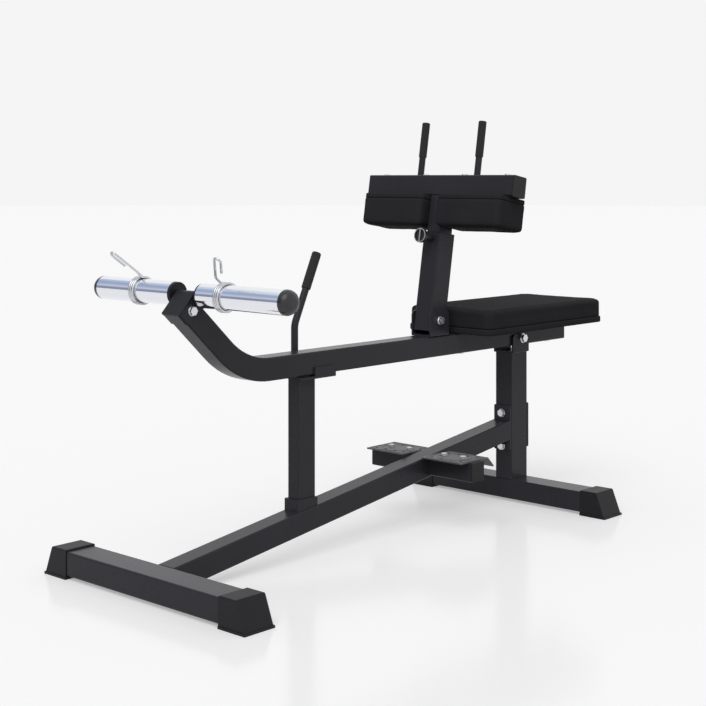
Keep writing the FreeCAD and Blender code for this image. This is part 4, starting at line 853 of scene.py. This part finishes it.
class MACHINE_OT_knee_pads(bpy.types.Operator):
    """Upholster both knee pads in the leaning frame of their post"""
    bl_idname = "machine.knee_pads"
    bl_label = "Upholster the knee pads"

    def execute(self, context):
        sizes = context.scene.machine_upholstery
        boards = []
        for side, sign in (("left", -1), ("right", 1)):
            ends = sorted((sign * PAD_INNER, sign * PAD_OUTER))
            low = Vector((PAD_FRONT, ends[0], PAD_UNDER))
            high = Vector((PAD_REAR, ends[1], PAD_SEAM))
            piece = cushion(f"{side}_knee_padding", low, high, sizes.pad_corner, sizes.edge, False,
                            sizes)
            piece.matrix_world = knee_frame()
            settle(piece)
            paint(piece, finish_of("vinyl_cover"))
            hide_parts(f"{side}_knee_pad")
            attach(piece, "knee_unit")
            board = wrapped_board(
                f"{side}_pad_base", (low.x + sizes.lip, low.y + sizes.lip, PAD_SEAM),
                (high.x - sizes.lip, high.y - sizes.lip, PAD_BOARD_TOP), sizes.pad_corner, sizes.wrap)
            board.matrix_world = knee_frame()
            settle(board)
            paint(board, finish_of("vinyl_cover"))
            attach(board, "knee_unit")
            boards.append(board)
        for board in boards:
            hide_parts("pad_boards")
        return {"FINISHED"}


class MACHINE_OT_stage(bpy.types.Operator):
    """Set up the floor, the room's light, the lamp and the camera"""
    bl_idname = "machine.stage"
    bl_label = "Set the stage"

    def execute(self, context):
        studio = context.scene.machine_studio
        self.floor(studio)
        self.room(context.scene, studio)
        self.lamp(studio)
        self.camera(context.scene, studio)
        context.scene.view_settings.view_transform = "Standard"
        return {"FINISHED"}

    def floor(self, studio):
        """A pale floor that the camera and bright metal see glowing, and that lights little itself."""
        deselect()
        bpy.ops.mesh.primitive_circle_add(vertices=96, radius=studio.floor, fill_type="NGON",
                                          location=(0, 0, 0))
        ground = added("studio_floor")
        settle(ground)
        finish = new_finish("studio_floor")
        matt = finish.node("ShaderNodeBsdfDiffuse", None, {"Color": FLOOR_MATT})
        gloss = finish.node("ShaderNodeBsdfAnisotropic", None,
                            {"Color": (1, 1, 1, 1), "Roughness": FLOOR_ROUGHNESS})
        lit = finish.node("ShaderNodeMixShader", None, {0: studio.gloss, 1: matt, 2: gloss})
        glow = finish.node("ShaderNodeEmission", None,
                           {"Color": opaque(studio.backdrop), "Strength": studio.glow})
        both = finish.node("ShaderNodeAddShader", None, {0: lit, 1: glow})
        dim = finish.node("ShaderNodeBsdfDiffuse", None, {"Color": FLOOR_DIM})
        mirrored = finish.node("ShaderNodeLightPath", out="Is Glossy Ray")
        seen = finish.node("ShaderNodeLightPath", out="Is Camera Ray")
        whole = finish.node("ShaderNodeMixShader", None, {0: seen + mirrored, 1: dim, 2: both})
        finish.node("ShaderNodeOutputMaterial", None, {"Surface": whole})
        paint(ground, finish.owner)

    def room(self, scene, studio):
        """An even white room, of which bright metal sees one side as a dimmer blue wall."""
        if scene.world is None:
            scene.world = bpy.data.worlds.new("studio")
        room = Finish(scene.world)
        seen = room.node("ShaderNodeLightPath", out="Is Camera Ray")
        mirrored = room.node("ShaderNodeLightPath", out="Is Glossy Ray")
        way = room.node("ShaderNodeTexCoord", out="Generated")
        split = room.node("ShaderNodeSeparateXYZ", None, {0: way})
        along, across, up = [Value(room, split.socket.node.outputs[axis]) for axis in range(3)]
        wall = room.node("ShaderNodeValToRGB", {"stops": BLUE_WALL}, {0: up})
        shade = (1 - room.between(along, -0.04, 0.16)) * room.between(across, -0.05, 0.10)
        band = room.mix(shade, WHITE_WALL, wall)
        plain = room.node("ShaderNodeBackground", None,
                          {"Color": (1, 1, 1, 1), "Strength": studio.world})
        shown = room.node("ShaderNodeBackground", None,
                          {"Color": opaque(studio.backdrop), "Strength": 1.0})
        shine = room.node("ShaderNodeBackground", None, {"Color": band, "Strength": 1.0})
        first = room.node("ShaderNodeMixShader", None, {0: mirrored, 1: plain, 2: shine})
        last = room.node("ShaderNodeMixShader", None, {0: seen, 1: first, 2: shown})
        room.node("ShaderNodeOutputWorld", None, {"Surface": last})

    def lamp(self, studio):
        """A wide soft light from above, to the left of the camera."""
        deselect()
        place = Vector(studio.lamp_place)
        bpy.ops.object.light_add(type="SUN", location=place)
        lamp = added("studio_overhead_lamp")
        lamp.data.energy = studio.lamp
        lamp.data.angle = studio.lamp_width
        lamp.rotation_mode = "QUATERNION"
        lamp.rotation_quaternion = (-place).to_track_quat("-Z", "Y")

    def camera(self, scene, studio):
        deselect()
        bpy.ops.object.camera_add(location=studio.camera)
        eye = added("studio_camera")
        eye.rotation_euler = (math.radians(90), 0, studio.turn)
        eye.data.lens = studio.lens
        eye.data.sensor_width = 36
        eye.data.shift_y = studio.shift
        eye.data.clip_end = 200
        scene.camera = eye


OPERATORS = [
    MACHINE_OT_finishes, MACHINE_OT_steel, MACHINE_OT_plated, MACHINE_OT_moulded, MACHINE_OT_fasteners,
    MACHINE_OT_tread, MACHINE_OT_seat, MACHINE_OT_knee_pads, MACHINE_OT_stage,
]


class MACHINE_PT_panel(bpy.types.Panel):
    """The machine's steps, in the order in which they run"""
    bl_label = "Calf raise machine"
    bl_idname = "MACHINE_PT_panel"
    bl_space_type = "VIEW_3D"
    bl_region_type = "UI"
    bl_category = "Calf raise"

    def draw(self, context):
        for step in OPERATORS:
            self.layout.operator(step.bl_idname)


SETTINGS = {
    "machine_colours": FinishColours,
    "machine_upholstery": UpholsterySizes,
    "machine_tread": TreadSizes,
    "machine_studio": StudioSettings,
}


def register():
    for group in SETTINGS.values():
        bpy.utils.register_class(group)
    for step in OPERATORS:
        bpy.utils.register_class(step)
    bpy.utils.register_class(MACHINE_PT_panel)
    for name, group in SETTINGS.items():
        setattr(bpy.types.Scene, name, PointerProperty(type=group))


def unregister():
    for name in SETTINGS:
        delattr(bpy.types.Scene, name)
    bpy.utils.unregister_class(MACHINE_PT_panel)
    for step in reversed(OPERATORS):
        bpy.utils.unregister_class(step)
    for group in reversed(list(SETTINGS.values())):
        bpy.utils.unregister_class(group)


def main():
    register()
    bpy.ops.machine.finishes()
    bpy.ops.machine.steel()
    bpy.ops.machine.plated()
    bpy.ops.machine.moulded()
    bpy.ops.machine.fasteners()
    bpy.ops.machine.tread()
    bpy.ops.machine.seat()
    bpy.ops.machine.knee_pads()
    bpy.ops.machine.stage()
    bpy.context.view_layer.update()


if __name__ == "__main__":
    main()
